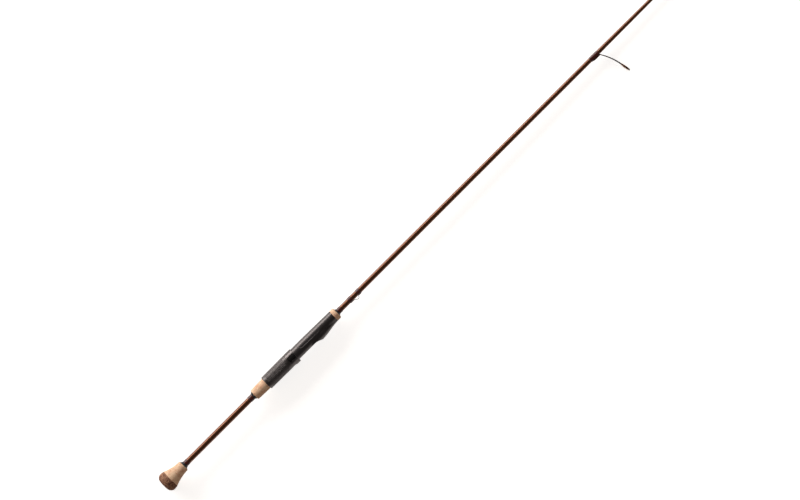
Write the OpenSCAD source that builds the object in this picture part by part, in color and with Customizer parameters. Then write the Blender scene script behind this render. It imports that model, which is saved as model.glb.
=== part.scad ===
// Extra-long spinning rod for ice fishing, lying on its side.
// The rod runs along +X from the butt face to the tip ring. The line guides and the reel foot bed
// are on the -Y side, and +Z is up. The origin is the centre of the butt face, on the rod's axis.

/* [Rod] */
// Overall length, from the butt face to the front of the tip ring
rod_len = 1219; // [1150:1:1400]
// Length of bare blank between the butt knob and the rear grip
bare_grip_len = 116.6; // [60:0.2:180]
// Distance from the butt face to the rear of the first guide's wrap
first_guide_x = 812.8; // [760:0.2:860]

/* [Blank] */
// Diameter at the butt and through the rear grip
blank_butt_d = 8.25; // [7:0.05:9]
// Diameter at the front of the reel seat
blank_fore_d = 7.8; // [6.8:0.05:8.2]
// Diameter at the first guide
blank_guide_d = 6.55; // [5:0.05:7]
// Diameter at the tip
blank_tip_d = 1.6; // [1.2:0.1:2.2]
// Wall thickness of the hollow part
blank_wall = 0.95; // [0.7:0.05:1.3]
// Radius of the hollow where it closes and the solid tip begins
blank_solid_r = 0.7; // [0.4:0.1:1.2]

/* [Butt knob] */
// Length of the composite cork cap
cap_len = 13.1; // [10:0.1:18]
// Largest diameter of the cap
cap_d = 28.1; // [26:0.1:34]
// Diameter of the flat on the cap's end
cap_flat_d = 12; // [8:0.5:16]
// Distance from the butt face to the cap's largest diameter
cap_round_len = 7.4; // [5:0.1:9]
// Depth of cork between the butt face and the end of the blank
cap_floor = 5; // [3:0.5:7]
// Length of the light cork part of the knob, two glued rings
knob_len = 25.1; // [20:0.1:34]
// Diameter where the cap meets the light cork
knob_rear_d = 26.2; // [24:0.1:26.2]
// Diameter at the front of the light cork
knob_front_d = 16.2; // [14:0.1:20]

/* [Cork grip and trim] */
// Length of the rear grip, two glued cork rings
rear_cork_len = 22.6; // [16:0.1:40]
// Diameter at the rear of the rear grip
rear_cork_d = 16; // [14.5:0.1:17]
// Length of the cork ring ahead of the reel seat
fore_cork_len = 6.5; // [5:0.1:14]
// Diameter of the cork ring ahead of the reel seat
fore_cork_d = 16.9; // [16:0.1:20]
// Rounding of the cork ends
cork_round = 1.6; // [0.8:0.1:2]
// Length of the winding check on the knob
knob_check_len = 2.8; // [1.5:0.1:4]
// Length of the winding check on the rear grip
rear_check_len = 2.6; // [1.5:0.1:4]
// Length of the winding check ahead of the seat
fore_check_len = 2; // [1.5:0.1:4]
// Wall of a winding check at its thin end
check_lip = 0.6; // [0.5:0.05:0.9]
// Wall of a winding check at its cork end
check_base = 2; // [1.2:0.1:2.6]
// Length of the thread wrap on the knob
knob_wrap_len = 5.8; // [3:0.1:12]
// Length of the thread wrap behind the rear grip
rear_wrap_len = 6.7; // [3:0.1:12]
// Length of the thread wrap ahead of the seat
fore_wrap_len = 5.8; // [3:0.1:12]
// Thickness of thread and coating
wrap_t = 0.35; // [0.2:0.05:0.5]

/* [Reel seat] */
// Diameter of the barrel
seat_d = 18.5; // [18:0.1:19]
// Height of the flat reel foot bed below the axis
bed_h = 8.55; // [8.3:0.05:8.8]
// Bore of the barrel
seat_bore_d = 14; // [12:0.1:14.6]
// Distance from the sliding hood to the lip of the fixed hood, with the nut backed off
foot_gap = 41.2; // [34:0.2:60]
// Height of the fixed hood's lip below the axis
lip_h = 12.15; // [11.7:0.05:13]
// Length from the lip to the front of the seat
hood_fairing_len = 32.4; // [24:0.2:48]
// Length of the sloping mouth of the fixed hood
mouth_len = 10.8; // [6:0.2:14]
// Depth of the fixed hood's pocket, from the lip
pocket_depth = 9; // [6:0.5:12]
// Wall of the fixed hood
hood_wall = 1.3; // [1:0.1:1.6]
// Diameter of the seat at its front
seat_front_d = 15.5; // [15:0.1:16.5]
// Height that the upper half of the seat is raised off the axis
saddle_rise = 0.6; // [0.3:0.05:0.7]
// Length of each arbor bush
arbor_len = 34; // [20:1:38]

/* [Lock nut and sliding hood] */
// Length of the lock nut
nut_len = 42.1; // [30:0.1:50]
// Diameter at the rear of the nut
nut_rear_d = 20.3; // [20.2:0.1:22]
// Diameter at the front of the nut
nut_front_d = 21; // [20.4:0.1:23]
// Number of grip grooves round the nut
nut_grooves = 40; // [24:1:48]
// Depth of the grip grooves
groove_depth = 0.22; // [0.1:0.02:0.3]
// Smooth band at each end of the nut
nut_band = 4.2; // [2:0.1:8]
// Length of the sliding hood
hood_len = 12.5; // [11:0.1:18]
// Diameter of the sliding hood
hood_d = 21; // [20.8:0.1:23]
// Thickness of the sliding hood's metal shell
hood_shell_t = 0.6; // [0.5:0.05:0.8]
// Height of the sliding hood's lip below the axis
hood_lip_h = 11.5; // [11.2:0.05:12.5]
// Wall over the sliding hood's pocket
hood_roof_t = 0.9; // [0.7:0.05:1.1]
// Depth of the sliding hood's pocket
hood_pocket = 8.8; // [6:0.1:9]
// Height of the side windows of the sliding hood
window_h = 7.5; // [5:0.1:9]
// Rim ahead of and behind each window
window_rim = 0.9; // [0.6:0.1:1.5]
// Travel of the nut and the sliding hood
hood_travel = 12; // [8:0.5:16]
// Pitch of the thread
thread_pitch = 1.5; // [1:0.25:2]
// Depth of the thread
thread_depth = 0.5; // [0.3:0.05:0.6]
// Running clearance of the nut and the hood on the barrel
run_fit = 0.06; // [0.02:0.01:0.1]
// Gap between end faces that turn or slide apart
face_gap = 0.2; // [0.1:0.05:0.4]

/* [Hook keeper] */
// Gap between the seat's front wrap and the keeper's rear wrap
keeper_gap = 14; // [8:0.2:40]
// Length of the keeper's rear wrap
keeper_wrap_rear_len = 6; // [4:0.1:9]
// Length of the keeper's front wrap
keeper_wrap_front_len = 5.6; // [4:0.1:9]
// Distance between the keeper's two wraps
keeper_span = 9.4; // [8:0.1:14]
// Height of the keeper's loop above the blank
keeper_rise = 3.5; // [2.5:0.1:6]
// Thickness of the keeper's wire
keeper_wire_d = 0.7; // [0.6:0.05:1]
// Thickness of the keeper's two feet, which are ground flat
keeper_foot_t = 0.4; // [0.3:0.05:0.5]

/* [Guides] */
// Outside diameter of the first guide's ring
first_ring_d = 15.1; // [13:0.1:18]
// Outside diameter that the rings approach towards the tip
last_ring_d = 7; // [6.5:0.1:8]
// Height of the first ring's centre above the axis
first_ring_h = 40; // [30:0.1:45]
// Height that the ring centres approach towards the tip
last_ring_h = 8; // [7.6:0.1:10]
// Share of the remaining step in ring size kept by each guide
ring_size_ratio = 0.6; // [0.4:0.01:0.7]
// Share of the remaining step in ring height kept by each guide
ring_height_ratio = 0.45; // [0.3:0.01:0.6]
// Ratio of each guide spacing to the one before
spacing_ratio = 0.72; // [0.65:0.01:0.85]
// Length of the first guide's wrap
first_wrap_len = 15.4; // [12:0.1:20]
// Length of the last guide's wrap
last_wrap_len = 9; // [8:0.1:12]
// Sheet thickness of the first guide's frame
first_sheet_t = 1.3; // [1:0.05:1.5]
// Sheet thickness of the last guide's frame
last_sheet_t = 0.8; // [0.6:0.05:1]
// Width of a guide's foot
foot_w = 2.4; // [1.8:0.1:2.8]
// Forward lean of each guide's ring, in degrees
ring_tilt = 10; // [0:1:20]
// Forward lean of each guide's leg at its foot, in degrees
leg_rake = 32; // [22:1:40]
// Width of each leg of a guide's frame
leg_w = 1.5; // [1:0.1:1.8]
// Wall of the metal collar round a ring
collar_t = 0.7; // [0.5:0.05:0.8]
// Width of the collar along its bore
collar_w = 1.7; // [1.4:0.1:2]
// Wall of the ring insert
insert_t = 1; // [0.8:0.05:1.2]
// Width of the ring insert along its bore
insert_w = 2.5; // [2.1:0.1:3]

/* [Tip top] */
// Outside diameter of the tip ring
tip_ring_d = 7; // [6.4:0.1:8]
// Forward lean of the tip ring, in degrees
tip_tilt = 24; // [15:1:30]
// Length of the tip tube
tip_tube_len = 10; // [7:0.5:13]
// Wall of the tip tube
tip_tube_wall = 0.4; // [0.3:0.05:0.6]
// Thickness of the two wire stays of the tip top
tip_stay_d = 0.9; // [0.7:0.05:1.1]
// Length of the wrap behind the tip tube
tip_wrap_len = 6; // [4:0.5:10]

/* [Hidden] */
$fn = 96;
past = 1; // how far a cutting shape runs past what it cuts
guide_count = 5;

// Places along the rod, from the butt
knob_x = cap_len;
knob_check_x = knob_x + knob_len;
knob_wrap_x = knob_check_x + knob_check_len;
rear_wrap_x = knob_wrap_x + knob_wrap_len + bare_grip_len;
rear_check_x = rear_wrap_x + rear_wrap_len;
rear_cork_x = rear_check_x + rear_check_len;
seat_x = rear_cork_x + rear_cork_len;
nut_x = seat_x + face_gap;
hood_x = nut_x + nut_len + face_gap;
hood_front_x = hood_x + hood_len;
lip_x = hood_front_x + foot_gap;
mouth_x = lip_x - mouth_len;
seat_end_x = lip_x + hood_fairing_len;
fore_check_x = seat_end_x + fore_cork_len;
fore_wrap_x = fore_check_x + fore_check_len;
keeper_x = fore_wrap_x + fore_wrap_len + keeper_gap;
keeper_loop_x = keeper_x + keeper_wrap_rear_len;
keeper_front_x = keeper_loop_x + keeper_span;

// Tip top, placed so that its ring's front is the end of the rod
tip_ring_r = tip_ring_d / 2;
tip_ring_x = rod_len - tip_ring_r * sin(tip_tilt) - collar_w / 2 * cos(tip_tilt);
tip_tube_r = blank_tip_d / 2 + tip_tube_wall;
tip_tube_end_x = tip_ring_x - tip_ring_r * sin(tip_tilt) + collar_w / 2 * cos(tip_tilt);
tip_tube_x = tip_tube_end_x - tip_tube_len;
tip_ring_h = tip_tube_r / 2 + tip_ring_r * cos(tip_tilt);
tip_wrap_x = tip_tube_x - tip_wrap_len;
blank_end_x = tip_tube_end_x - collar_w;

// The blank's outside
blank_stations = [
    [0, blank_butt_d / 2],
    [seat_x, blank_butt_d / 2],
    [fore_check_x, blank_fore_d / 2],
    [first_guide_x, blank_guide_d / 2],
    [tip_tube_x, blank_tip_d / 2],
    [rod_len, blank_tip_d / 2]
];
function blank_r(x) = lookup(x, blank_stations);

// Where the hollow has narrowed to blank_solid_r
tip_slope = (blank_guide_d - blank_tip_d) / 2 / (tip_tube_x - first_guide_x);
hollow_end_x = first_guide_x + (blank_guide_d / 2 - blank_wall - blank_solid_r) / tip_slope;

// Reel seat
seat_r = seat_d / 2;
mound_axis_h = 4; // the fixed hood is turned about an axis this far below the rod's
mound_r = lip_h - mound_axis_h;
mound_lap = 0.85; // how far the mound's front end stands out of the saddle, so that they join
mound_end_r = seat_front_d / 2 - mound_axis_h + mound_lap;
hood_axis_h = 3; // the sliding hood's pocket is turned about an axis this far below the rod's
hood_r = hood_d / 2;
liner_r = hood_r - hood_shell_t;
scallop_x = hood_front_x + hood_travel - 1.8; // the hood just covers the scallop's start
scallop_run = 5;
scallop_rise = 6;
rail_end_x = lip_x + mouth_len;
arbor_gap = (seat_end_x - seat_x - 3 * arbor_len) / 2;

// Guides: 0 is nearest the butt
guide_run = tip_tube_x - first_guide_x;
function guide_x(k) = first_guide_x
    + guide_run * (1 - pow(spacing_ratio, k)) / (1 - pow(spacing_ratio, guide_count));
function ring_r(k) = (last_ring_d + (first_ring_d - last_ring_d) * pow(ring_size_ratio, k)) / 2;
function ring_h(k) = last_ring_h + (first_ring_h - last_ring_h) * pow(ring_height_ratio, k);
function share(k) = k / (guide_count - 1);
function guide_wrap_len(k) = first_wrap_len + (last_wrap_len - first_wrap_len) * share(k);
function sheet_t(k) = first_sheet_t + (last_sheet_t - first_sheet_t) * share(k);
foot_tail = 1.2; // bare thread behind a guide's foot
bend_r = 1.2; // bend between a guide's foot and its leg
fork_share = 0.3; // how far up the leg it parts in two

// Colours
cork_colour = "#dcb088";
composite_colour = "#6b4634";
blank_colour = "#3f2015";
wrap_colour = "#2e0f08";
check_colour = "#1e2122";
seat_colour = "#2a2828";
nut_colour = "#3a3735";
hood_colour = "#8d8380";
frame_colour = "#4a4542";
insert_colour = "#9a6a3c";
wire_colour = "#b5aaa5";
arbor_colour = "#b9b09c";

// Turns a profile of [radius, x] points about the X axis
module turned(points) rotate([0, 90, 0]) rotate_extrude() polygon(points);

// A straight or tapered tube along X with its bore left solid
module rod_piece(x0, x1, r0, r1) turned([[0, x0], [r0, x0], [r1, x1], [0, x1]]);

// Everything outward of a distance below the axis
module below(h, x0, x1, reach = 40)
    translate([x0, -h - reach, -reach]) cube([x1 - x0, reach, 2 * reach]);

// Moves children from an axis through the origin to one below it
module lowered(h) translate([0, -h, 0]) children();

// Extrudes a [width, height] drawing along X, with its height along +Y
module across(x, length) translate([x, 0, 0]) rotate([0, 90, 0]) linear_extrude(length) children();

// Guides are drawn on the +Y side and mirrored
module under_side() mirror([0, 1, 0]) children();

module blank_form(x0, x1, grow = 0)
    turned(concat(
        [[0, x0], [blank_r(x0) + grow, x0]],
        [for (s = blank_stations) if (s[0] > x0 && s[0] < x1) [s[1] + grow, s[0]]],
        [[blank_r(x1) + grow, x1], [0, x1]]));

// A piece that fits on the blank: the child with the blank's shape taken out
module on_blank() difference() {
    children();
    blank_form(cap_floor, blank_end_x);
}

// ---- Blank ----
module blank() color(blank_colour) difference() {
    blank_form(cap_floor, blank_end_x);
    turned(concat(
        [[0, cap_floor - past], [blank_r(0) - blank_wall, cap_floor - past]],
        [for (i = [1:3]) [blank_stations[i][1] - blank_wall, blank_stations[i][0]]],
        [[blank_solid_r, hollow_end_x], [0, hollow_end_x]]));
}
// ---- Butt knob ----
arc_steps = 14;
cap_flat_r = cap_flat_d / 2;
cap_bulge = cap_d / 2 - cap_flat_r;
module butt_cap() color(composite_colour) on_blank() turned(concat(
    [[0, 0]],
    [for (i = [0:arc_steps]) let (a = 90 * i / arc_steps)
        [cap_flat_r + cap_bulge * sin(a), cap_round_len * (1 - cos(a))]],
    [for (i = [1:5]) let (u = i / 5)
        [cap_d / 2 + (knob_rear_d - cap_d) / 2 * u * u,
            cap_round_len + (cap_len - cap_round_len) * u]],
    [[0, cap_len]]));

function knob_r(u) = (knob_front_d + (knob_rear_d - knob_front_d) * pow(1 - u, 2)) / 2;
knob_steps = 8;
module knob_ring(u0, u1, tail) color(cork_colour) on_blank() turned(concat(
    [[0, knob_x + knob_len * u0]],
    [for (i = [0:knob_steps]) let (u = u0 + (u1 - u0) * i / knob_steps)
        [knob_r(u), knob_x + knob_len * u]],
    tail,
    [[0, knob_x + knob_len * max(u1, tail == [] ? u1 : 1)]]));
knob_round_u = 1 - cork_round / knob_len;
module knob_cork_rear() knob_ring(0, 0.5, []);
module knob_cork_front() knob_ring(0.5, knob_round_u,
    [for (a = [15:15:90])
        [knob_r(1) - cork_round * (1 - cos(a)), knob_check_x - cork_round * (1 - sin(a))]]);

// A cone from a cork face down to the blank
module check(x0, x1, base_first) color(check_colour) on_blank() rod_piece(x0, x1,
    blank_r(x0) + (base_first ? check_base : check_lip),
    blank_r(x1) + (base_first ? check_lip : check_base));

// A plain thread wrap round the blank
wrap_edge = 0.4;
module plain_wrap(x, length) color(wrap_colour) on_blank() turned([
    [0, x],
    [blank_r(x) + wrap_t / 2, x],
    [blank_r(x) + wrap_t, x + wrap_edge],
    [blank_r(x + length) + wrap_t, x + length - wrap_edge],
    [blank_r(x + length) + wrap_t / 2, x + length],
    [0, x + length]]);

// ---- Rear grip and fore ring ----
// A cork ring with a rounded edge where asked
module cork_ring(x0, x1, r0, r1, round0, round1) color(cork_colour) on_blank() turned(concat(
    [[0, x0]],
    [for (a = [0:15:90]) [r0 - round0 * (1 - sin(a)), x0 + round0 * (1 - cos(a))]],
    [for (a = [90:-15:0]) [r1 - round1 * (1 - sin(a)), x1 - round1 * (1 - cos(a))]],
    [[0, x1]]));

rear_cork_mid_x = rear_cork_x + rear_cork_len / 2;
rear_cork_step = 0.7; // step from the cork up to the seat's barrel
rear_cork_front_r = seat_r - rear_cork_step;
rear_cork_mid_r = (rear_cork_d / 2 + rear_cork_front_r) / 2;
module rear_cork_rear()
    cork_ring(rear_cork_x, rear_cork_mid_x, rear_cork_d / 2, rear_cork_mid_r, cork_round, 0);
module rear_cork_front()
    cork_ring(rear_cork_mid_x, seat_x, rear_cork_mid_r, rear_cork_front_r, 0, 0);
module fore_cork_ring() {
    edge = min(cork_round, fore_cork_len / 3);
    cork_ring(seat_end_x, fore_check_x, fore_cork_d / 2, fore_cork_d / 2, edge / 3, edge);
}

// ---- Reel seat ----
// Threaded barrel with rings standing for the thread
thread_count = floor((hood_x - nut_x) / thread_pitch);
crest = thread_pitch / 6;
module barrel() turned(concat(
    [[0, seat_x], [seat_r, seat_x]],
    [for (i = [0:thread_count - 1], p = [[0, 0], [1, 0.35], [1, 0.65], [0, 1]])
        [seat_r - thread_depth * p[0],
            nut_x + crest + thread_pitch * i + (thread_pitch - crest) * p[1]]],
    [[seat_r, rail_end_x - mouth_len], [seat_front_d / 2 - saddle_rise, rail_end_x],
        [0, rail_end_x]]));

// Side view of the barrel and its rails, with the scallop that starts the saddle
module rail_outline() polygon(concat(
    [[seat_x - past, -2 * seat_r], [seat_x - past, 2 * seat_r], [scallop_x, 2 * seat_r],
        [scallop_x, scallop_rise]],
    [for (a = [10:10:90])
        [scallop_x + scallop_run * (1 - cos(a)), scallop_rise * (1 - sin(a))]],
    [[rail_end_x + past, 0], [rail_end_x + past, -2 * seat_r]]));

// Upper half of the seat, narrower than the rails and raised a little off the axis
saddle_taper = 0.45; // how much narrower the saddle is at the end of the rails
module saddle() lowered(-saddle_rise) turned([
    [0, scallop_x - past], [seat_r - saddle_rise, scallop_x - past],
    [seat_r - saddle_rise, mouth_x - mouth_len],
    [seat_r - saddle_rise - saddle_taper, rail_end_x],
    [seat_front_d / 2, seat_end_x], [0, seat_end_x]]);

function smooth(u) = u * u * (3 - 2 * u);
fairing_steps = 12;
flare_steps = 6;
flare_x = mouth_x - mouth_len; // where the bed starts to widen towards the hood
flare_r = mound_r * 0.7;
module mound() intersection() {
    lowered(mound_axis_h) turned(concat(
        [[0, flare_x]],
        [for (i = [0:flare_steps]) let (u = i / flare_steps)
            [flare_r + (mound_r - flare_r) * smooth(u), flare_x + (mouth_x - flare_x + past) * u]],
        [for (i = [0:fairing_steps]) let (u = i / fairing_steps)
            [mound_r + (mound_end_r - mound_r) * smooth(u), lip_x + hood_fairing_len * u]],
        [[0, seat_end_x]]));
    linear_extrude(4 * seat_r, center = true) polygon(concat(
        [[flare_x - past, 0], [flare_x - past, -bed_h]],
        [for (i = [0:8]) let (u = i / 8)
            [mouth_x + mouth_len * u, -bed_h - (lip_h - bed_h) * pow(u, 1.6)]],
        [[lip_x, -2 * lip_h], [seat_end_x + past, -2 * lip_h], [seat_end_x + past, 0]]));
}

pocket_slope = 0.4; // how much shallower the fixed hood's pocket is at its end
module fixed_pocket() intersection() {
    lowered(mound_axis_h) rod_piece(mouth_x - past, lip_x + pocket_depth,
        mound_r - hood_wall, mound_r - hood_wall - pocket_slope);
    below(bed_h, mouth_x - 2 * past, seat_end_x);
}

module seat_body() color(seat_colour) difference() {
    union() {
        difference() {
            union() {
                intersection() {
                    barrel();
                    linear_extrude(4 * seat_r, center = true) rail_outline();
                }
                saddle();
            }
            below(bed_h, seat_x - past, lip_x + pocket_depth);
        }
        mound();
    }
    fixed_pocket();
    rod_piece(seat_x - past, seat_end_x + past, seat_bore_d / 2, seat_bore_d / 2);
}

module arbor(i) color(arbor_colour) on_blank() {
    x = seat_x + i * (arbor_len + arbor_gap);
    rod_piece(x, x + arbor_len, seat_bore_d / 2, seat_bore_d / 2);
}

// ---- Lock nut ----
nut_edge = 1; // rounding of the nut's rear edge
nut_end_x = nut_x + nut_len;
function nut_r(x) = (nut_rear_d + (nut_front_d - nut_rear_d) * (x - nut_x) / nut_len) / 2;
groove_w = PI * nut_rear_d / nut_grooves * 0.4;
module lock_nut() color(nut_colour) difference() {
    turned(concat(
        [[0, nut_x]],
        [for (a = [0:15:90])
            [nut_r(nut_x) - nut_edge * 0.7 * (1 - sin(a)), nut_x + nut_edge * (1 - cos(a))]],
        [[nut_r(nut_end_x), nut_end_x - nut_edge / 3],
            [nut_r(nut_end_x) - nut_edge / 4, nut_end_x], [0, nut_end_x]]));
    rod_piece(nut_x - past, nut_end_x + past, seat_r + run_fit, seat_r + run_fit);
    for (i = [0:nut_grooves - 1]) rotate([360 * i / nut_grooves, 0, 0])
        translate([nut_x + nut_band, -groove_w / 2, nut_r(nut_x + nut_band) - groove_depth])
            rotate([0, -atan((nut_front_d - nut_rear_d) / 2 / nut_len), 0])
                cube([nut_len - 2 * nut_band, groove_w, past]);
}

// ---- Sliding hood ----
// The barrel with its flat, grown by the running fit
module barrel_passage(x0, x1) difference() {
    rod_piece(x0, x1, seat_r + run_fit, seat_r + run_fit);
    below(bed_h + run_fit, x0 - past, x1 + past);
}

hood_pocket_r = hood_lip_h - hood_axis_h;
hood_pocket_slope = 0.2; // how much shallower the pocket is at its end
module hood_pocket_cut() intersection() {
    lowered(hood_axis_h) rod_piece(hood_front_x - hood_pocket, hood_front_x + past,
        hood_pocket_r - hood_roof_t - hood_pocket_slope, hood_pocket_r - hood_roof_t);
    below(bed_h, hood_x, hood_front_x + 2 * past);
}

hood_edge = 0.3;
window_rise = 0.3; // the windows sit this far above the axis
module sliding_hood() color(hood_colour) difference() {
    union() {
        turned([[0, hood_x], [hood_r - hood_edge, hood_x], [hood_r, hood_x + hood_edge],
            [hood_r, hood_front_x - hood_edge], [hood_r - hood_edge, hood_front_x],
            [0, hood_front_x]]);
        lowered(hood_axis_h) turned([[0, hood_x + window_rim],
            [hood_r - hood_axis_h - hood_shell_t, hood_x + window_rim],
            [hood_pocket_r - hood_edge / 2, hood_x + hood_len / 2],
            [hood_pocket_r, hood_front_x - hood_edge],
            [hood_pocket_r - hood_edge, hood_front_x], [0, hood_front_x]]);
    }
    rod_piece(hood_x + window_rim, hood_front_x - window_rim, liner_r, liner_r);
    barrel_passage(hood_x - past, hood_front_x + past);
    hood_pocket_cut();
    translate([hood_x + window_rim, -window_h / 2 + window_rise, -hood_d])
        cube([hood_len - 2 * window_rim, window_h, 2 * hood_d]);
}

module hood_liner() color(check_colour) difference() {
    rod_piece(hood_x + window_rim, hood_front_x - window_rim, liner_r, liner_r);
    barrel_passage(hood_x - past, hood_front_x + past);
    hood_pocket_cut();
}

// ---- Hook keeper ----
// Wire through points in the XY plane, mitred at each bend
function way(points, i) = let (d = points[i + 1] - points[i]) atan2(d[1], d[0]);
module wire(points, d) {
    last = len(points) - 1;
    reach = 4 * d;
    for (i = [0:last - 1]) {
        h = way(points, i);
        before = i == 0 ? h : (h + way(points, i - 1)) / 2;
        after = i == last - 1 ? h : (h + way(points, i + 1)) / 2;
        difference() {
            translate(points[i]) rotate([0, 90, h]) translate([0, 0, -d])
                cylinder(d = d, h = norm(points[i + 1] - points[i]) + 2 * d, $fn = 12);
            translate(points[i]) rotate(before)
                translate([-reach, -reach / 2, -reach / 2]) cube(reach);
            translate(points[i + 1]) rotate(after)
                translate([0, -reach / 2, -reach / 2]) cube(reach);
        }
    }
}

keeper_ramp = 1.6; // slope at the outer end of each keeper wrap
glue = 0.05; // film of coating between the blank and a foot
keeper_base_h = blank_r(keeper_x) + glue;
keeper_foot_h = keeper_base_h + keeper_wire_d / 2;
keeper_top_h = blank_r(keeper_x) + keeper_rise - keeper_wire_d / 2;
keeper_bends = [0.15, 0.51, 0.79, 0.93]; // the loop's corners, as shares of the span
keeper_flat_reach = 0.3; // how far the flat part of each foot stands out of its wrap
function keeper_bend_x(i) = keeper_loop_x + keeper_span * keeper_bends[i];
module hook_keeper() color(wire_colour) under_side() difference() {
    wire([
        [keeper_x + keeper_wire_d, keeper_foot_h],
        [keeper_bend_x(0), keeper_foot_h],
        [keeper_bend_x(1), keeper_top_h],
        [keeper_bend_x(2), keeper_top_h],
        [keeper_bend_x(3), keeper_foot_h],
        [keeper_front_x + keeper_wrap_front_len - keeper_wire_d, keeper_foot_h]], keeper_wire_d);
    foot_grind(keeper_x, keeper_loop_x + keeper_flat_reach);
    foot_grind(keeper_front_x - keeper_flat_reach, keeper_front_x + keeper_wrap_front_len);
}

// What is ground off a foot between two places along the rod
module foot_grind(x0, x1)
    translate([x0, keeper_base_h + keeper_foot_t, -keeper_wire_d])
        cube([x1 - x0, keeper_wire_d, 2 * keeper_wire_d]);

// Ridge of a wrap over a foot: its sides run from the foot's corners down to the round wrap
ridge_cover = 0.25; // thread and coating beside a foot
ridge_sink = 0.99; // the ridge's lower corners lie this share of the wrap's radius from the axis
module wrap_ridge(x, length, foot_h, ridge_w, ramps) {
    r = blank_r(x) + wrap_t;
    top = r + foot_h;
    half_w = ridge_w / 2 + ridge_cover;
    tangent = atan(half_w / top) + acos(r / norm([half_w, top]));
    base = ridge_sink * r * [sin(tangent + 3), cos(tangent + 3)];
    intersection() {
        across(x, length) polygon([
            [0, 0], [base[0], base[1]], [half_w, top - wrap_t / 2], [half_w - wrap_t / 2, top],
            [wrap_t / 2 - half_w, top], [-half_w, top - wrap_t / 2], [-base[0], base[1]]]);
        linear_extrude(4 * r, center = true) polygon([[x, 0], [x, ramps[0] > wrap_edge ? r : top],
            [x + ramps[0], top], [x + length - ramps[1], top],
            [x + length, ramps[1] > wrap_edge ? r : top - wrap_t / 2], [x + length, 0]]);
    }
}

// A wrap over a foot that comes out at one end, with a ramp down to the blank at its other end
module foot_wrap(x, length, foot_h, ridge_w, ramps) color(wrap_colour) on_blank() {
    plain_wrap(x, length);
    under_side() wrap_ridge(x, length, foot_h, ridge_w, ramps);
}

module keeper_wrap(x, length, ramps) difference() {
    foot_wrap(x, length, keeper_foot_t + glue, keeper_wire_d, ramps);
    hook_keeper();
}

// ---- Guides ----
// Points on an arc that starts at p, turns from heading a0 to a1 and has radius r
function arc(p, r, a0, a1, steps) = [for (i = [1:steps]) let (a = a0 + (a1 - a0) * i / steps)
    p + r * [sin(a) - sin(a0), cos(a0) - cos(a)]];

// Centre line of a guide's sheet in side view, from the bend at the foot to just past the ring's centre
blade_lap = 0.7; // how far the legs run past the ring's centre along its collar
function spread(k) = ring_r(k) - collar_t / 2;
function foot_base(k) = blank_r(guide_x(k)) + glue;
function guide_line(k) = let (
    t = sheet_t(k),
    foot_end = [guide_x(k) + guide_wrap_len(k) - bend_r, foot_base(k) + t / 2],
    a1 = 90 - leg_rake,
    a2 = 90 - ring_tilt,
    bend = arc(foot_end, bend_r, 0, a1, 6),
    leg_start = bend[5],
    leg_end_h = ring_h(k) - spread(k) * cos(ring_tilt),
    chord = (leg_end_h - leg_start[1]) / sin((a1 + a2) / 2),
    leg = arc(leg_start, chord / 2 / sin((a2 - a1) / 2), a1, a2, 12))
    concat([foot_end], bend, leg, [leg[11] + (spread(k) + blade_lap) * ring_way]);
ring_way = [sin(ring_tilt), cos(ring_tilt)];
function leg_end(k) = let (line = guide_line(k)) line[len(line) - 2];
function ring_centre(k) = leg_end(k) + spread(k) * ring_way;

// Left and right edges of a strip of thickness t along a line
function heading(line, i) = let (a = line[max(i - 1, 0)], b = line[min(i + 1, len(line) - 1)])
    (b - a) / norm(b - a);
function edge(line, t) = [for (i = [0:len(line) - 1]) let (d = heading(line, i))
    line[i] + t * [-d[1], d[0]]];
function reversed(list) = [for (i = [len(list) - 1:-1:0]) list[i]];

// Side view of the foot and the leg
module guide_side(k) {
    t = sheet_t(k);
    r = foot_base(k);
    line = guide_line(k);
    tail_x = guide_x(k) + foot_tail;
    polygon(concat(
        edge(line, t / 2),
        reversed(edge(line, -t / 2)),
        [[tail_x, r], [tail_x, r + t / 5], [tail_x + guide_wrap_len(k) / 3, r + t]]));
}

// Front view of the foot and the two legs, which meet the ring at its sides
module guide_front(k) {
    r = foot_base(k);
    top = ring_h(k);
    neck = r + sheet_t(k) + bend_r;
    fork = r + (leg_end(k)[1] - r) * fork_share;
    half_w = spread(k);
    difference() {
        polygon([[-foot_w / 2, r - past], [-foot_w / 2, neck], [-half_w, top], [-half_w, top + past],
            [half_w, top + past], [half_w, top], [foot_w / 2, neck], [foot_w / 2, r - past]]);
        polygon([[0, fork], [-half_w + leg_w, top], [-half_w + leg_w, top + 2 * past],
            [half_w - leg_w, top + 2 * past], [half_w - leg_w, top]]);
    }
}

// Puts children at a ring's centre with their axis along the ring's bore. They are turned about it, so
// that the seams of their round faces stay out of the rod's plane of symmetry.
seam_turn = 11;
module at_ring(centre, tilt) translate(centre) rotate([0, 90, -tilt]) rotate(seam_turn) children();

module ring_collar(r) difference() {
    cylinder(r = r, h = collar_w, center = true);
    cylinder(r = r - collar_t, h = collar_w + past, center = true);
}

module guide_blade(k) intersection() {
    linear_extrude(4 * ring_r(k), center = true) guide_side(k);
    across(guide_x(k), guide_wrap_len(k) + 2 * ring_h(k)) guide_front(k);
}

module guide_frame(k) color(frame_colour) under_side() {
    difference() {
        guide_blade(k);
        at_ring(ring_centre(k), ring_tilt)
            cylinder(r = ring_r(k) - collar_t, h = 4 * collar_w, center = true);
    }
    at_ring(ring_centre(k), ring_tilt) ring_collar(ring_r(k));
}

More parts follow.
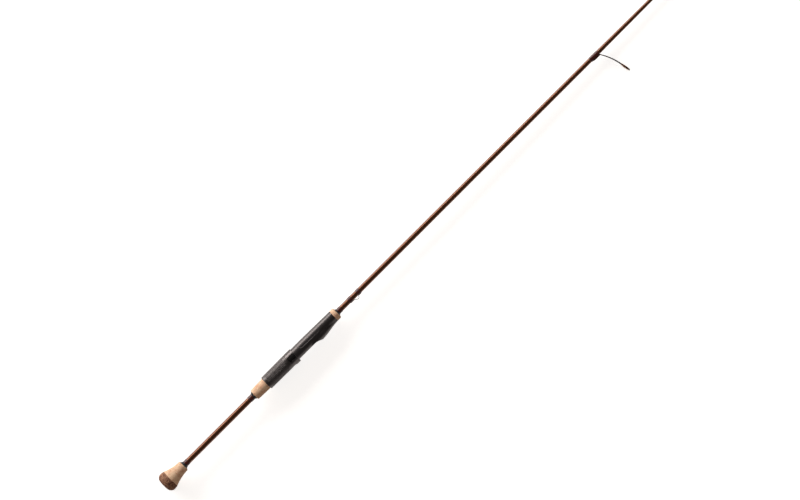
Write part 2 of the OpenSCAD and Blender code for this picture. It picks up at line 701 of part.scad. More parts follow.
// Ring insert with a rounded outside and a straight land in its bore
insert_round = 0.45; // rounding of the insert's edges
module ring_insert(r) {
    inner = r - collar_t - insert_t;
    soft = insert_round;
    rotate_extrude() polygon(concat(
        [[r - collar_t, -collar_w / 2], [r - collar_t, collar_w / 2]],
        [for (a = [0:15:90])
            [r - collar_t - soft + soft * cos(a), insert_w / 2 - soft + soft * sin(a)]],
        [for (a = [90:15:180])
            [inner + soft + soft * cos(a), insert_w / 2 - soft + soft * sin(a)]],
        [for (a = [180:15:270])
            [inner + soft + soft * cos(a), -insert_w / 2 + soft + soft * sin(a)]],
        [for (a = [270:15:360])
            [r - collar_t - soft + soft * cos(a), -insert_w / 2 + soft + soft * sin(a)]]));
}

module guide_ring(k) color(insert_colour) under_side()
    at_ring(ring_centre(k), ring_tilt) ring_insert(ring_r(k));

module guide_wrap(k) difference() {
    foot_wrap(guide_x(k), guide_wrap_len(k), sheet_t(k) + glue, foot_w,
        [foot_tail + guide_wrap_len(k) / 3, wrap_edge]);
    under_side() guide_blade(k);
}

// ---- Tip top ----
tip_ring_centre = [tip_ring_x, tip_ring_h];
stay_foot = 3.5; // distance from the tube's rear to where the stays leave it
stay_start = [tip_tube_x + stay_foot, tip_tube_r - tip_stay_d * 0.2];
module tip_stay(side) {
    a = [stay_start[0], stay_start[1], side * tip_stay_d / 2];
    b = [tip_ring_x, tip_ring_h, side * (tip_ring_r - tip_stay_d / 2)];
    run = b - a;
    translate(a) rotate([0, acos(run[2] / norm(run)), atan2(run[1], run[0])])
        cylinder(d = tip_stay_d, h = norm(run), $fn = 24);
    translate(a) sphere(d = tip_stay_d, $fn = 24);
}

module tip_top_frame() color(frame_colour) difference() {
    union() {
        rod_piece(tip_tube_x, tip_tube_end_x, tip_tube_r, tip_tube_r);
        under_side() {
            tip_stay(1);
            tip_stay(-1);
            at_ring(tip_ring_centre, tip_tilt)
                cylinder(r = tip_ring_r, h = collar_w, center = true);
        }
    }
    blank_form(tip_tube_x - past, blank_end_x);
    under_side() at_ring(tip_ring_centre, tip_tilt)
        cylinder(r = tip_ring_r - collar_t, h = 4 * collar_w, center = true);
}

module tip_top_ring() color(insert_colour) under_side()
    at_ring(tip_ring_centre, tip_tilt) ring_insert(tip_ring_r);

blank();
butt_cap();
knob_cork_rear();
knob_cork_front();
check(knob_check_x, knob_wrap_x, true);  // knob_check
plain_wrap(knob_wrap_x, knob_wrap_len);  // knob_wrap
plain_wrap(rear_wrap_x, rear_wrap_len);  // rear_wrap
check(rear_check_x, rear_cork_x, false);  // rear_check
rear_cork_rear();
rear_cork_front();
seat_body();
arbor(0);  // arbor_rear
arbor(1);  // arbor_middle
arbor(2);  // arbor_front
lock_nut();
sliding_hood();
hood_liner();
fore_cork_ring();
check(fore_check_x, fore_wrap_x, true);  // fore_check
plain_wrap(fore_wrap_x, fore_wrap_len);  // fore_wrap
hook_keeper();
keeper_wrap(keeper_x, keeper_wrap_rear_len, [keeper_ramp, wrap_edge]);  // keeper_wrap_rear
keeper_wrap(keeper_front_x, keeper_wrap_front_len, [wrap_edge, keeper_ramp]);  // keeper_wrap_front
guide_frame(0);  // guide_1_frame
guide_ring(0);  // guide_1_ring
guide_wrap(0);  // guide_1_wrap
guide_frame(1);  // guide_2_frame
guide_ring(1);  // guide_2_ring
guide_wrap(1);  // guide_2_wrap
guide_frame(2);  // guide_3_frame
guide_ring(2);  // guide_3_ring
guide_wrap(2);  // guide_3_wrap
guide_frame(3);  // guide_4_frame
guide_ring(3);  // guide_4_ring
guide_wrap(3);  // guide_4_wrap
guide_frame(4);  // guide_5_frame
guide_ring(4);  // guide_5_ring
guide_wrap(4);  // guide_5_wrap
tip_top_frame();
tip_top_ring();
plain_wrap(tip_wrap_x, tip_wrap_len);  // tip_wrap
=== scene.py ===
"""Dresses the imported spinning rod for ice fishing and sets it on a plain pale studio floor.

The rod lies along +X from the butt to the tip, with its line guides towards -Y. Places and radii come
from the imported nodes, and sizes that the nodes don't show are properties of the scene.
"""

import math
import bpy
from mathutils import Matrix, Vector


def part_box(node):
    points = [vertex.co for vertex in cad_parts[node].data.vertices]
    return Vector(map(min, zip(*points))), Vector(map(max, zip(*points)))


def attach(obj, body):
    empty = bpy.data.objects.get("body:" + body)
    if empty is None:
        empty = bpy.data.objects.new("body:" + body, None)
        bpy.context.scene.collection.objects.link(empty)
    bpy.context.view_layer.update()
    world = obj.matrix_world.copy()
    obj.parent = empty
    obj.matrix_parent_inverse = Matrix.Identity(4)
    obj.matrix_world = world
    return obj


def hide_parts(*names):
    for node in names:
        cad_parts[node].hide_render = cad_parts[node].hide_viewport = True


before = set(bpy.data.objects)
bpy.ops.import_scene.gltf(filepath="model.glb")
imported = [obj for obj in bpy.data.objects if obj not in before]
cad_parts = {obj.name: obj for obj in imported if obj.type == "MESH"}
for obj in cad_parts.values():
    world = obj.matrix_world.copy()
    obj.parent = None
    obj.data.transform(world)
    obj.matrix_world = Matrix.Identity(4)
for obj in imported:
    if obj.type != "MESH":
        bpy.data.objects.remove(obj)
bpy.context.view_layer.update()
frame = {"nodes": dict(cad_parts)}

from types import SimpleNamespace

import bmesh
import bpy
import numpy as np
from bpy.props import FloatProperty, FloatVectorProperty, IntProperty, PointerProperty
from mathutils import Matrix, Vector, noise

bl_info = {
    "name": "Spinning Rod Dressing",
    "version": (1, 0, 0),
    "blender": (4, 5, 0),
    "location": "3D View > Sidebar > Rod",
    "description": "Makes the visible pieces, finishes and studio of a spinning rod for ice fishing",
    "category": "Object",
}

MM = 0.001
TURN = 2 * math.pi
GUIDE_COUNT = 5

MATH = "ShaderNodeMath"
VECTOR_MATH = "ShaderNodeVectorMath"
MAP_RANGE = "ShaderNodeMapRange"
MIX = "ShaderNodeMix"
NOISE = "ShaderNodeTexNoise"
CELLS = "ShaderNodeTexVoronoi"
RAMP = "ShaderNodeValToRGB"
BUMP = "ShaderNodeBump"


def srgb(code):
    """Linear red, green and blue of an sRGB hex colour."""
    channels = [int(code[i:i + 2], 16) / 255 for i in (1, 3, 5)]
    return tuple(c / 12.92 if c <= 0.04045 else ((c + 0.055) / 1.055) ** 2.4 for c in channels)


# ---------------------------------------------------------------- settings

def length(name, description, millimetres):
    return FloatProperty(name=name, description=description, default=millimetres * MM, min=0,
                         precision=5, subtype="DISTANCE", unit="LENGTH")


def colour(name, description, code):
    return FloatVectorProperty(name=name, description=description, default=srgb(code), size=3,
                               min=0, max=1, subtype="COLOR")


def angle(name, description, degrees):
    return FloatProperty(name=name, description=description, default=math.radians(degrees), subtype="ANGLE",
                         unit="ROTATION")


class RodCorkSettings(bpy.types.PropertyGroup):
    """Turned cork of the butt knob, the rear grip and the fore ring."""
    light: colour("Light cork", "Colour of clean sanded cork", "#eccbaa")
    dark: colour("Cork shade", "Colour of the denser cork between the pale patches", "#d9a888")
    pore: colour("Pores", "Colour of the filled pores", "#8a5a40")
    patch: length("Patch size", "Size of the pale and dark patches", 4.5)
    grain: length("Grain size", "Size of the fine grain", 0.7)
    pore_depth: length("Pore depth", "Depth of the open pores", 0.22)
    burl_light: colour("Light granule", "Lightest granules of the composite cork", "#b28467")
    burl_dark: colour("Dark granule", "Darkest granules of the composite cork", "#6a4536")
    burl_binder: colour("Binder", "Colour between the granules", "#503226")
    granule: length("Granule size", "Size of a composite cork granule", 1.6)


class RodBlankSettings(bpy.types.PropertyGroup):
    """The tapered blank and its clear finish."""
    body: colour("Blank", "Colour of the blank under its clear coat", "#60341d")
    sheen: colour("Blank sheen", "Colour of the pearl in the clear coat", "#7e522b")
    tape_pitch: length("Tape pitch", "Spacing of the faint rings that the curing tape leaves", 2.2)


class RodThreadSettings(bpy.types.PropertyGroup):
    """Thread wraps under clear epoxy."""
    light: colour("Light thread", "Colour on top of the thread", "#5a1e0e")
    dark: colour("Dark thread", "Colour between two threads", "#320d06")
    pitch: length("Thread pitch",
                  "Spacing of the thread, drawn coarser than the real 0.2 mm so that it shows", 0.36)
    ridge: length("Thread ridge", "Height of each thread under the coat", 0.025)
    bead: length("Bead length", "Length over which the coat thins out at each end", 0.7)
    foot_tail: length("Foot tail", "Bare thread behind a guide's foot", 1.2)


class RodSeatSettings(bpy.types.PropertyGroup):
    """Reel seat, lock nut and sliding hood."""
    body: colour("Seat", "Colour of the moulded seat", "#1b1919")
    nut: colour("Lock nut", "Colour of the moulded nut", "#262322")
    hood: colour("Hood metal", "Colour of the anodised hood", "#5e5856")
    liner: colour("Liner", "Colour of the liner inside the hood", "#050505")
    edge: length("Moulded edge",
                 "Rounding of the seat's scallop line, of which its other edges get a quarter", 0.4)
    metal_edge: length("Metal edge", "Rounding of the hood's edges", 0.12)
    pitch: length("Thread pitch", "Pitch of the barrel's thread", 1.5)
    thread_depth: length("Thread depth", "Depth of the barrel's thread", 0.5)
    grooves: IntProperty(name="Grip grooves", description="Grooves round the lock nut", default=40, min=8,
                         max=90)
    groove_depth: length("Groove depth", "Depth of the grip grooves", 0.26)
    band: length("Smooth band", "Smooth band at each end of the lock nut", 4.2)


class RodMetalSettings(bpy.types.PropertyGroup):
    """Guides, tip top, hook keeper and winding checks."""
    frame: colour("Guide metal", "Colour of the plated guide frames", "#322722")
    insert: colour("Ring insert", "Colour of the polished rings", "#b8712e")
    wire: colour("Keeper wire", "Colour of the keeper's wire", "#2c2421")
    check: colour("Winding check", "Colour of the winding checks", "#17191a")
    first_sheet: length("First sheet", "Sheet thickness of the first guide", 1.3)
    last_sheet: length("Last sheet", "Sheet thickness of the last guide", 0.8)
    foot: length("Foot width", "Width of a guide's foot", 2.4)
    leg: length("Leg width", "Width of each leg of a guide", 1.5)
    bend: length("Bend", "Radius between a guide's foot and its leg", 1.2)
    collar: length("Collar wall", "Wall of the metal collar round a ring", 0.7)
    collar_width: length("Collar width", "Width of the collar along its bore", 1.7)
    insert_wall: length("Insert wall", "Wall of the ring insert", 1.0)
    stay: length("Tip stay", "Thickness of the tip top's two stays", 0.9)
    keeper: length("Keeper wire", "Thickness of the hook keeper's wire", 0.7)
    keeper_foot: length("Keeper foot", "Thickness of the keeper's two feet, ground flat on the outside", 0.4)
    tilt: angle("Ring tilt", "Forward lean of a guide's ring", 10)
    rake: angle("Leg rake", "Forward lean of a guide's leg at its foot", 32)
    tip_tilt: angle("Tip tilt", "Forward lean of the tip ring", 24)


class RodStageSettings(bpy.types.PropertyGroup):
    """Floor, lights and camera."""
    floor: colour("Floor", "Colour of the floor", "#e8e6e3")
    key: FloatProperty(name="Key light", description="Power of the long soft light", default=90, min=0,
                       unit="POWER")
    room: FloatProperty(name="Room light", description="Strength of the even light from all round",
                        default=0.25, min=0)
    warmth: colour("Room colour", "Colour of the light that comes from all round", "#fff0e4")
    ceiling: FloatProperty(name="Ceiling", description="Strength of the ceiling in reflections", default=0.08,
                           min=0)
    lens: FloatProperty(name="Lens", description="Focal length in millimetres", default=200, min=20, max=300)
    width: FloatProperty(name="View width", description="Width of the view at the rod's axis",
                         default=1.08, subtype="DISTANCE", unit="LENGTH")
    roll: angle("Roll", "Angle of the rod above the view's lower edge", 44.93)


class RodSettings(bpy.types.PropertyGroup):
    """Everything that can be changed about the rod's looks."""
    cork: PointerProperty(type=RodCorkSettings)
    blank: PointerProperty(type=RodBlankSettings)
    thread: PointerProperty(type=RodThreadSettings)
    seat: PointerProperty(type=RodSeatSettings)
    metal: PointerProperty(type=RodMetalSettings)
    stage: PointerProperty(type=RodStageSettings)


# ---------------------------------------------------------------- nodes and materials

def wire_up(tree, node, inputs):
    """Sets or links a node's sockets. inputs maps their names or numbers to values, or lists them in order.

    A value is a plain one, a socket of another node, or another node, which gives its first output in use.
    """
    for socket, value in inputs.items() if isinstance(inputs, dict) else enumerate(inputs):
        if isinstance(value, bpy.types.Node):
            value = next(output for output in value.outputs if output.enabled)
        if isinstance(value, bpy.types.NodeSocket):
            tree.links.new(value, node.inputs[socket])
        else:
            node.inputs[socket].default_value = value


def add(tree, kind, inputs=(), operation=None, **settings):
    """Adds one node with its inputs, its operation if it has one, and its other settings."""
    made = tree.nodes.new(kind)
    if operation:
        made.operation = operation
    for name, value in settings.items():
        setattr(made, name, value)
    wire_up(tree, made, inputs)
    return made


def set_stops(ramp, stops):
    """Gives a colour ramp its stops, each (position, linear colour)."""
    elements = ramp.color_ramp.elements
    while len(elements) < len(stops):
        elements.new(0.5)
    for element, (position, tone) in zip(elements, stops):
        element.position = position
        element.color = (*tone, 1)
    return ramp


def scale_of(size):
    """A texture's scale, in object coordinates, for a pattern of that size."""
    return 1 / max(size, 1e-6)


def new_material(name):
    """A material with its tree, its shader and its object coordinates."""
    made = bpy.data.materials.new(name)
    made.use_nodes = True
    tree = made.node_tree
    tree.nodes.clear()
    shader = add(tree, "ShaderNodeBsdfPrincipled")
    add(tree, "ShaderNodeOutputMaterial", {"Surface": shader})
    return made, tree, shader, add(tree, "ShaderNodeTexCoord").outputs["Object"]


def grained(name, size, detail, stops, surface, rough=None, relief=None, stretch=None, kind=NOISE):
    """A material whose colour follows one fine pattern between two stops, each (position, colour).

    rough is the roughness at each end of the pattern and relief its bump's (strength, depth). stretch
    draws the pattern out along the axes where it is small.
    """
    made, tree, shader, place = new_material(name)
    if stretch:
        place = add(tree, "ShaderNodeMapping", {"Vector": place, "Scale": stretch})
    fine = add(tree, kind, {"Vector": place, "Scale": scale_of(size), "Detail": detail})
    surface["Base Color"] = set_stops(add(tree, RAMP, {"Fac": fine}), stops)
    if rough:
        surface["Roughness"] = add(tree, MAP_RANGE, {"Value": fine, "To Min": rough[0], "To Max": rough[1]})
    if relief:
        surface["Normal"] = add(tree, BUMP, {"Height": fine, "Strength": relief[0], "Distance": relief[1]})
    wire_up(tree, shader, surface)
    return made


def natural_cork(settings):
    """Sanded natural cork: warm and matt, in pale and dark patches with dark pores, no shine at all."""
    made, tree, shader, place = new_material("sanded_natural_cork")
    patches = add(tree, NOISE, {"Vector": place, "Scale": scale_of(settings.patch), "Detail": 4.0,
                                "Roughness": 0.6})
    tone = set_stops(add(tree, RAMP, {"Fac": patches}), [(0.36, settings.dark), (0.62, settings.light)])
    # grain runs along the rod, as the rings are cut across the bark
    along = add(tree, "ShaderNodeMapping", {"Vector": place, "Scale": (0.45, 1.0, 1.0)})
    grain = add(tree, NOISE, {"Vector": along, "Scale": scale_of(settings.grain), "Detail": 3.0,
                              "Roughness": 0.7})
    shade = set_stops(add(tree, RAMP, {"Fac": grain}), [(0.3, (0.62, 0.55, 0.5)), (0.55, (1.0, 1.0, 1.0))])
    shaded = add(tree, MIX, {0: 0.55, 6: tone, 7: shade}, data_type="RGBA", blend_type="MULTIPLY")
    cells = add(tree, CELLS, {"Vector": along, "Scale": scale_of(2.1 * MM), "Randomness": 1.0})
    pores = add(tree, MAP_RANGE, {"Value": cells, "From Min": 0.1, "From Max": 0.2, "To Min": 0.6,
                                  "To Max": 0.0})
    flecked = add(tree, MIX, {0: pores, 6: shaded, 7: (*settings.pore, 1)}, data_type="RGBA")
    bump = add(tree, BUMP, {"Height": grain, "Strength": 0.35, "Distance": 0.12 * MM})
    wire_up(tree, shader, {"Base Color": flecked, "Roughness": 0.88, "Specular IOR Level": 0.25,
                           "Normal": bump})
    return made


def composite_cork(settings):
    """Burl cork composite: dark and light granules pressed in dark binder, sanded to a dull surface."""
    made, tree, shader, place = new_material("pressed_burl_cork")
    warp = add(tree, NOISE, {"Vector": place, "Scale": scale_of(3 * MM), "Detail": 2.0})
    shifted = add(tree, VECTOR_MATH, (warp.outputs["Color"], (0.0012, 0.0012, 0.0012)), "MULTIPLY")
    bent = add(tree, VECTOR_MATH, (place, shifted), "ADD")
    granules = add(tree, CELLS, {"Vector": bent, "Scale": scale_of(settings.granule)})
    middle = tuple((a + b) / 2 for a, b in zip(settings.burl_light, settings.burl_dark))
    grey = add(tree, "ShaderNodeRGBToBW", {"Color": granules.outputs["Color"]})
    tone = set_stops(add(tree, RAMP, {"Fac": grey}),
                     [(0.25, settings.burl_dark), (0.55, middle), (0.8, settings.burl_light)])
    seams = add(tree, CELLS, {"Vector": bent, "Scale": scale_of(settings.granule)},
                feature="DISTANCE_TO_EDGE")
    binder = add(tree, MAP_RANGE, {"Value": seams, "From Min": 0.02, "From Max": 0.09, "To Min": 0.8,
                                   "To Max": 0.0})
    bound = add(tree, MIX, {0: binder, 6: tone, 7: (*settings.burl_binder, 1)}, data_type="RGBA")
    bump = add(tree, BUMP, {"Height": seams, "Strength": 0.3, "Distance": 0.15 * MM})
    wire_up(tree, shader, {"Base Color": bound, "Roughness": 0.82, "Specular IOR Level": 0.25,
                           "Normal": bump})
    return made


def coated_blank(settings):
    """Wound carbon blank under clear lacquer: deep brown, glassy, with faint rings from the curing tape."""
    made, tree, shader, place = new_material("lacquered_wound_blank")
    axis = add(tree, "ShaderNodeSeparateXYZ", {"Vector": place})
    turns = add(tree, MATH, (axis.outputs["X"], scale_of(settings.tape_pitch)), "MULTIPLY")
    rings = add(tree, MATH, (turns, 1.0), "PINGPONG")
    flakes = add(tree, NOISE, {"Vector": place, "Scale": scale_of(0.8 * MM), "Detail": 2.0})
    mixed = add(tree, MATH, (rings, flakes), "MULTIPLY")
    tone = set_stops(add(tree, RAMP, {"Fac": mixed}), [(0.1, settings.body), (1.0, settings.sheen)])
    bump = add(tree, BUMP, {"Height": rings, "Strength": 0.08, "Distance": 0.02 * MM})
    wire_up(tree, shader, {"Base Color": tone, "Metallic": 0.7, "Roughness": 0.3, "Coat Weight": 0.3,
                           "Coat Roughness": 0.1, "Normal": bump})
    return made


def wound_thread(settings):
    """Nylon thread under clear epoxy: fine maroon turns seen through a thick wet-looking coat."""
    made, tree, shader, place = new_material("epoxied_nylon_thread")
    axis = add(tree, "ShaderNodeSeparateXYZ", {"Vector": place})
    turns = add(tree, MATH, (axis.outputs["X"], scale_of(settings.pitch)), "MULTIPLY")
    each = add(tree, NOISE, {"W": turns, "Scale": 1.0, "Detail": 1.0}, noise_dimensions="1D")
    tone = set_stops(add(tree, RAMP, {"Fac": each}), [(0.35, settings.dark), (0.65, settings.light)])
    wire_up(tree, shader, {"Base Color": tone, "Roughness": 0.4, "Specular IOR Level": 0.3,
                           "Coat Weight": 0.35, "Coat Roughness": 0.12})
    return made


def moulded_nylon(name, tone, grit, roughness, shine=0.9):
    """Glass-filled nylon from a spark-eroded mould: near black, satin, with a fine even grit."""
    lifted = tuple(min(1, c * 1.5 + 0.004) for c in tone)
    surface = {"Specular IOR Level": shine, "Specular Tint": (1.0, 0.87, 0.83, 1.0)}
    return grained(name, grit, 3.0, [(0.3, tone), (0.75, lifted)], surface,
                   rough=(roughness - 0.06, roughness + 0.08), relief=(0.12, 0.05 * MM))


def anodised_aluminium(settings):
    """Turned and anodised aluminium: warm grey metal with fine lathe lines round it."""
    darker = tuple(c * 0.8 for c in settings.hood)
    return grained("turned_anodised_aluminium", 0.35 * MM, 2.0, [(0.3, darker), (0.7, settings.hood)],
                   {"Metallic": 1.0}, rough=(0.24, 0.4), relief=(0.15, 0.03 * MM), stretch=(1.0, 0.03, 0.03))


def plated_steel(name, tone, roughness):
    """Stamped or drawn steel, plated and tumbled: soft metal shine with small dull patches."""
    worn = tuple(c * 0.7 for c in tone)
    return grained(name, 0.9 * MM, 3.0, [(0.35, worn), (0.65, tone)], {"Metallic": 1.0},
                   rough=(roughness - 0.06, roughness + 0.1))


def polished_ring(settings):
    """Polished ring of tinted aluminium oxide: bronze brown, hard and glassy, with a faint cloudiness."""
    deep = tuple(c * 0.6 for c in settings.insert)
    return grained("polished_oxide_ring", 1.5 * MM, 2.0, [(0.35, deep), (0.65, settings.insert)],
                   {"Roughness": 0.1, "IOR": 1.76})


def black_rubber(settings):
    """Moulded rubber winding check: black and dull, with a skin that is a little dusty."""
    dusty = tuple(c * 1.6 + 0.003 for c in settings.check)
    return grained("moulded_check_rubber", 0.6 * MM, 4.0, [(0.35, settings.check), (0.7, dusty)],
                   {"Roughness": 0.55, "Specular IOR Level": 0.35}, relief=(0.2, 0.04 * MM))


def rigid_foam():
    """Turned polyurethane foam of the arbors inside the seat: pale and full of fine cells."""
    return grained("turned_arbor_foam", 0.5 * MM, 0.0, [(0.0, srgb("#a89c80")), (0.6, srgb("#d3cab3"))],
                   {"Roughness": 0.9}, relief=(0.4, 0.1 * MM), kind=CELLS)


def shared(maker, *arguments):
    """The material that maker makes, made once."""
    key = maker.__name__ + "".join(a for a in arguments if isinstance(a, str))
    if key not in shared.made:
        shared.made[key] = maker(*arguments)
    return shared.made[key]


shared.made = {}


# ---------------------------------------------------------------- meshes

def outline(node, inside=False):
    """[(x, radius)] of a turned CAD node's outside, or of its bore, from the corners of its own mesh."""
    corners = np.array([v.co for v in frame["nodes"][node].data.vertices])
    radii = np.hypot(corners[:, 1], corners[:, 2])
    pick = min if inside else max
    found = {}
    for x, r in zip(np.round(corners[:, 0], 6).tolist(), radii.tolist()):
        found[x] = pick(found.get(x, r), r)
    return sorted(found.items())


def blank_outline():
    """[(x, radius)] of the tapered blank, without the corners of its hollow, which are nearer the axis."""
    kept = []
    for x, r in reversed(outline("blank")):
        if not kept or r >= kept[-1][1]:
            kept.append((x, r))
    return kept[::-1]


BLANK = np.array(blank_outline())


def blank_radius(x):
    """Radius of the blank at a distance from the butt."""
    return float(np.interp(x, BLANK[:, 0], BLANK[:, 1]))


def resampled(points, step):
    """The same line with a point at least every step."""
    made = [points[0]]
    for a, b in zip(points, points[1:]):
        count = max(1, math.ceil(math.dist(a, b) / step))
        made += [tuple(np.array(a) + (np.array(b) - np.array(a)) * i / count) for i in range(1, count + 1)]
    return made


def new_object(name, data):
    """An object in the scene's own collection."""
    made = bpy.data.objects.new(name, data)
    bpy.context.scene.collection.objects.link(made)
    return made


def mesh_object(name, verts, faces, sharp=40):
    """A smooth-shaded object at the origin. Edges whose faces meet at more than sharp degrees stay hard."""
    mesh = bpy.data.meshes.new(name)
    mesh.from_pydata([tuple(v) for v in verts], [], faces)
    mesh.validate()
    smooth_shading(mesh, sharp)
    return new_object(name, mesh)


def smooth_shading(mesh, sharp):
    """Shades a mesh smooth, with hard edges where faces meet at more than sharp degrees."""
    mesh.shade_smooth()
    mesh.set_sharp_from_angle(angle=math.radians(sharp))


def quarter_turn(steps):
    """Angles from 0 to a quarter turn."""
    return [math.pi / 2 * i / steps for i in range(steps + 1)]


def strips(rows, count, closed=False):
    """Faces between rows of count points, each row closed round. closed joins the last row to the first."""
    faces = []
    for j in range(rows if closed else rows - 1):
        k = (j + 1) % rows
        for i in range(count):
            n = (i + 1) % count
            faces.append((j * count + i, j * count + n, k * count + n, k * count + i))
    return faces


def turned(profile, steps, carve=None, place=Matrix.Identity(4)):
    """Vertices and faces of a profile of (x, radius) points turned about the X axis.

    A profile that starts and ends on the axis gets poles there, and any other is closed into a ring.
    carve(point, x) is how far a point is sunk towards the axis.
    """
    poles = profile[0][1] == 0
    rows = profile[1:-1] if poles else profile
    verts = []
    for x, r in rows:
        for i in range(steps):
            a = TURN * i / steps
            p = Vector((x, -r * math.cos(a), r * math.sin(a)))
            if carve:
                sunk = (r - carve(p, x)) / r
                p = Vector((x, p.y * sunk, p.z * sunk))
            verts.append(place @ p)
    faces = strips(len(rows), steps, closed=not poles)
    if poles:
        first = len(verts)
        last = first - steps
        verts += [place @ Vector((profile[0][0], 0, 0)), place @ Vector((profile[-1][0], 0, 0))]
        faces += [(first, (i + 1) % steps, i) for i in range(steps)]
        faces += [(first + 1, last + i, last + (i + 1) % steps) for i in range(steps)]
    return verts, faces


def joined(*shells):
    """Several (vertices, faces) as one."""
    verts, faces = [], []
    for more_verts, more_faces in shells:
        start = len(verts)
        verts += list(more_verts)
        faces += [tuple(i + start for i in f) for f in more_faces]
    return verts, faces


def closed_object(name, shell, sharp):
    """A smooth-shaded object of closed shells, with every face turned outwards."""
    made = mesh_object(name, *shell, sharp)
    bm = bmesh.new()
    bm.from_mesh(made.data)
    bmesh.ops.recalc_face_normals(bm, faces=bm.faces)
    bm.to_mesh(made.data)
    bm.free()
    return made


def apply_modifiers(made, name):
    """Turns what an object's modifiers make into its own plain mesh."""
    evaluated = made.evaluated_get(bpy.context.evaluated_depsgraph_get())
    mesh = bpy.data.meshes.new_from_object(evaluated)
    made.modifiers.clear()
    made.data = mesh
    mesh.name = name
    return made


def swept(centres, axes, sections):
    """A closed tube through centres. axes gives the two directions of each section's 2-D points."""
    count = len(sections[0])
    verts = [c + u * p[0] + v * p[1] for c, (u, v), section in zip(centres, axes, sections) for p in section]
    ends = [tuple(reversed(range(count))), tuple(range(len(verts) - count, len(verts)))]
    return verts, strips(len(centres), count) + ends


def rounded_box(half_w, half_t, corner, steps):
    """Corners of a 2-D rectangle with rounded edges, anticlockwise."""
    corner = min(corner, half_w * 0.98, half_t * 0.98)
    made = []
    for quarter, (sx, sy) in enumerate([(1, 1), (-1, 1), (-1, -1), (1, -1)]):
        for i in range(steps + 1):
            a = math.pi / 2 * (quarter + i / steps)
            made.append((sx * (half_w - corner) + corner * math.cos(a),
                         sy * (half_t - corner) + corner * math.sin(a)))
    return made


def finish(piece, body, slot, material, *nodes):
    """Gives a finished piece its material and its body, and hides the CAD nodes that it stands for. slot is
    not used.
    """
    piece.data.materials.clear()
    piece.data.materials.append(material)
    for node in nodes:
        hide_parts(node)
    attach(piece, body)


# ---------------------------------------------------------------- rule-made rings

def tapered(tree, source, share, what):
    """The rear size of that name at the rear end, changing evenly to the front one."""
    return add(tree, MAP_RANGE, {"Value": share, "To Min": source[f"Rear {what}"],
                                 "To Max": source[f"Front {what}"]})


def between_ends(tree, source, ring, what, curve):
    """1 in the middle, falling to 0 over the rear and front lengths of that name."""
    rear = add(tree, MAP_RANGE, {"Value": ring.behind, "From Max": source[f"Rear {what}"]},
               interpolation_type=curve)
    front = add(tree, MAP_RANGE, {"Value": ring.ahead, "From Max": source[f"Front {what}"]},
                interpolation_type=curve)
    return add(tree, MATH, (rear, front), "MULTIPLY")


def ring_tree(name, sizes):
    """A tree with the named sizes as inputs, and the grid that will become a closed ring about X.

    The grid's rows are the outside from rear to front, the bore's front and rear edges, and the first
    row again. Returns the tree, its inputs and the ring's parts: the angle from -Y, the place x along X,
    the share of the length, the lengths behind, ahead and to the near end, the bore's bare radius, and
    whether a row is in the bore.
    """
    tree = bpy.data.node_groups.new(name, "GeometryNodeTree")
    kinds = {"Geometry": "Geometry", "Rows": "Int", "Columns": "Int", "Finish": "Material"}
    for item in ("Geometry", "Start", "Length", "Rear bore", "Front bore", *sizes, "Rows", "Columns",
                 "Finish"):
        tree.interface.new_socket(name=item, in_out="INPUT",
                                  socket_type="NodeSocket" + kinds.get(item, "Float"))
    tree.interface.new_socket(name="Geometry", in_out="OUTPUT", socket_type="NodeSocketGeometry")
    source = add(tree, "NodeGroupInput").outputs
    wide = add(tree, MATH, (source["Columns"], 1.0), "ADD")
    tall = add(tree, MATH, (source["Rows"], 3.0), "ADD")
    high = add(tree, MATH, (source["Rows"], 2.0), "ADD")
    grid = add(tree, "GeometryNodeMeshGrid",
               {"Size X": 1.0, "Size Y": high, "Vertices X": wide, "Vertices Y": tall})
    cell = add(tree, "ShaderNodeSeparateXYZ", {"Vector": add(tree, "GeometryNodeInputPosition")})
    turn = add(tree, MATH, (cell.outputs["X"], TURN), "MULTIPLY")
    row = add(tree, MATH, (high, 0.5, cell.outputs["Y"]), "MULTIPLY_ADD")
    last = add(tree, MATH, (source["Rows"], 1.0), "SUBTRACT")
    up = add(tree, MAP_RANGE, {"Value": row, "From Max": last})
    edge = add(tree, MATH, (source["Rows"], 0.5), "ADD")
    forward = add(tree, MATH, (row, edge), "LESS_THAN")
    share = add(tree, MATH, (up, forward), "MULTIPLY")
    bore = add(tree, MATH, (row, edge, 0.75), "COMPARE")
    x = add(tree, MATH, (share, source["Length"], source["Start"]), "MULTIPLY_ADD")
    behind = add(tree, MATH, (x, source["Start"]), "SUBTRACT")
    ahead = add(tree, MATH, (source["Length"], behind), "SUBTRACT")
    near = add(tree, MATH, (behind, ahead), "MINIMUM")
    bare = tapered(tree, source, share, "bore")
    return tree, source, SimpleNamespace(grid=grid, angle=turn, x=x, share=share, bore=bore, behind=behind,
                                         ahead=ahead, near=near, bare=bare)


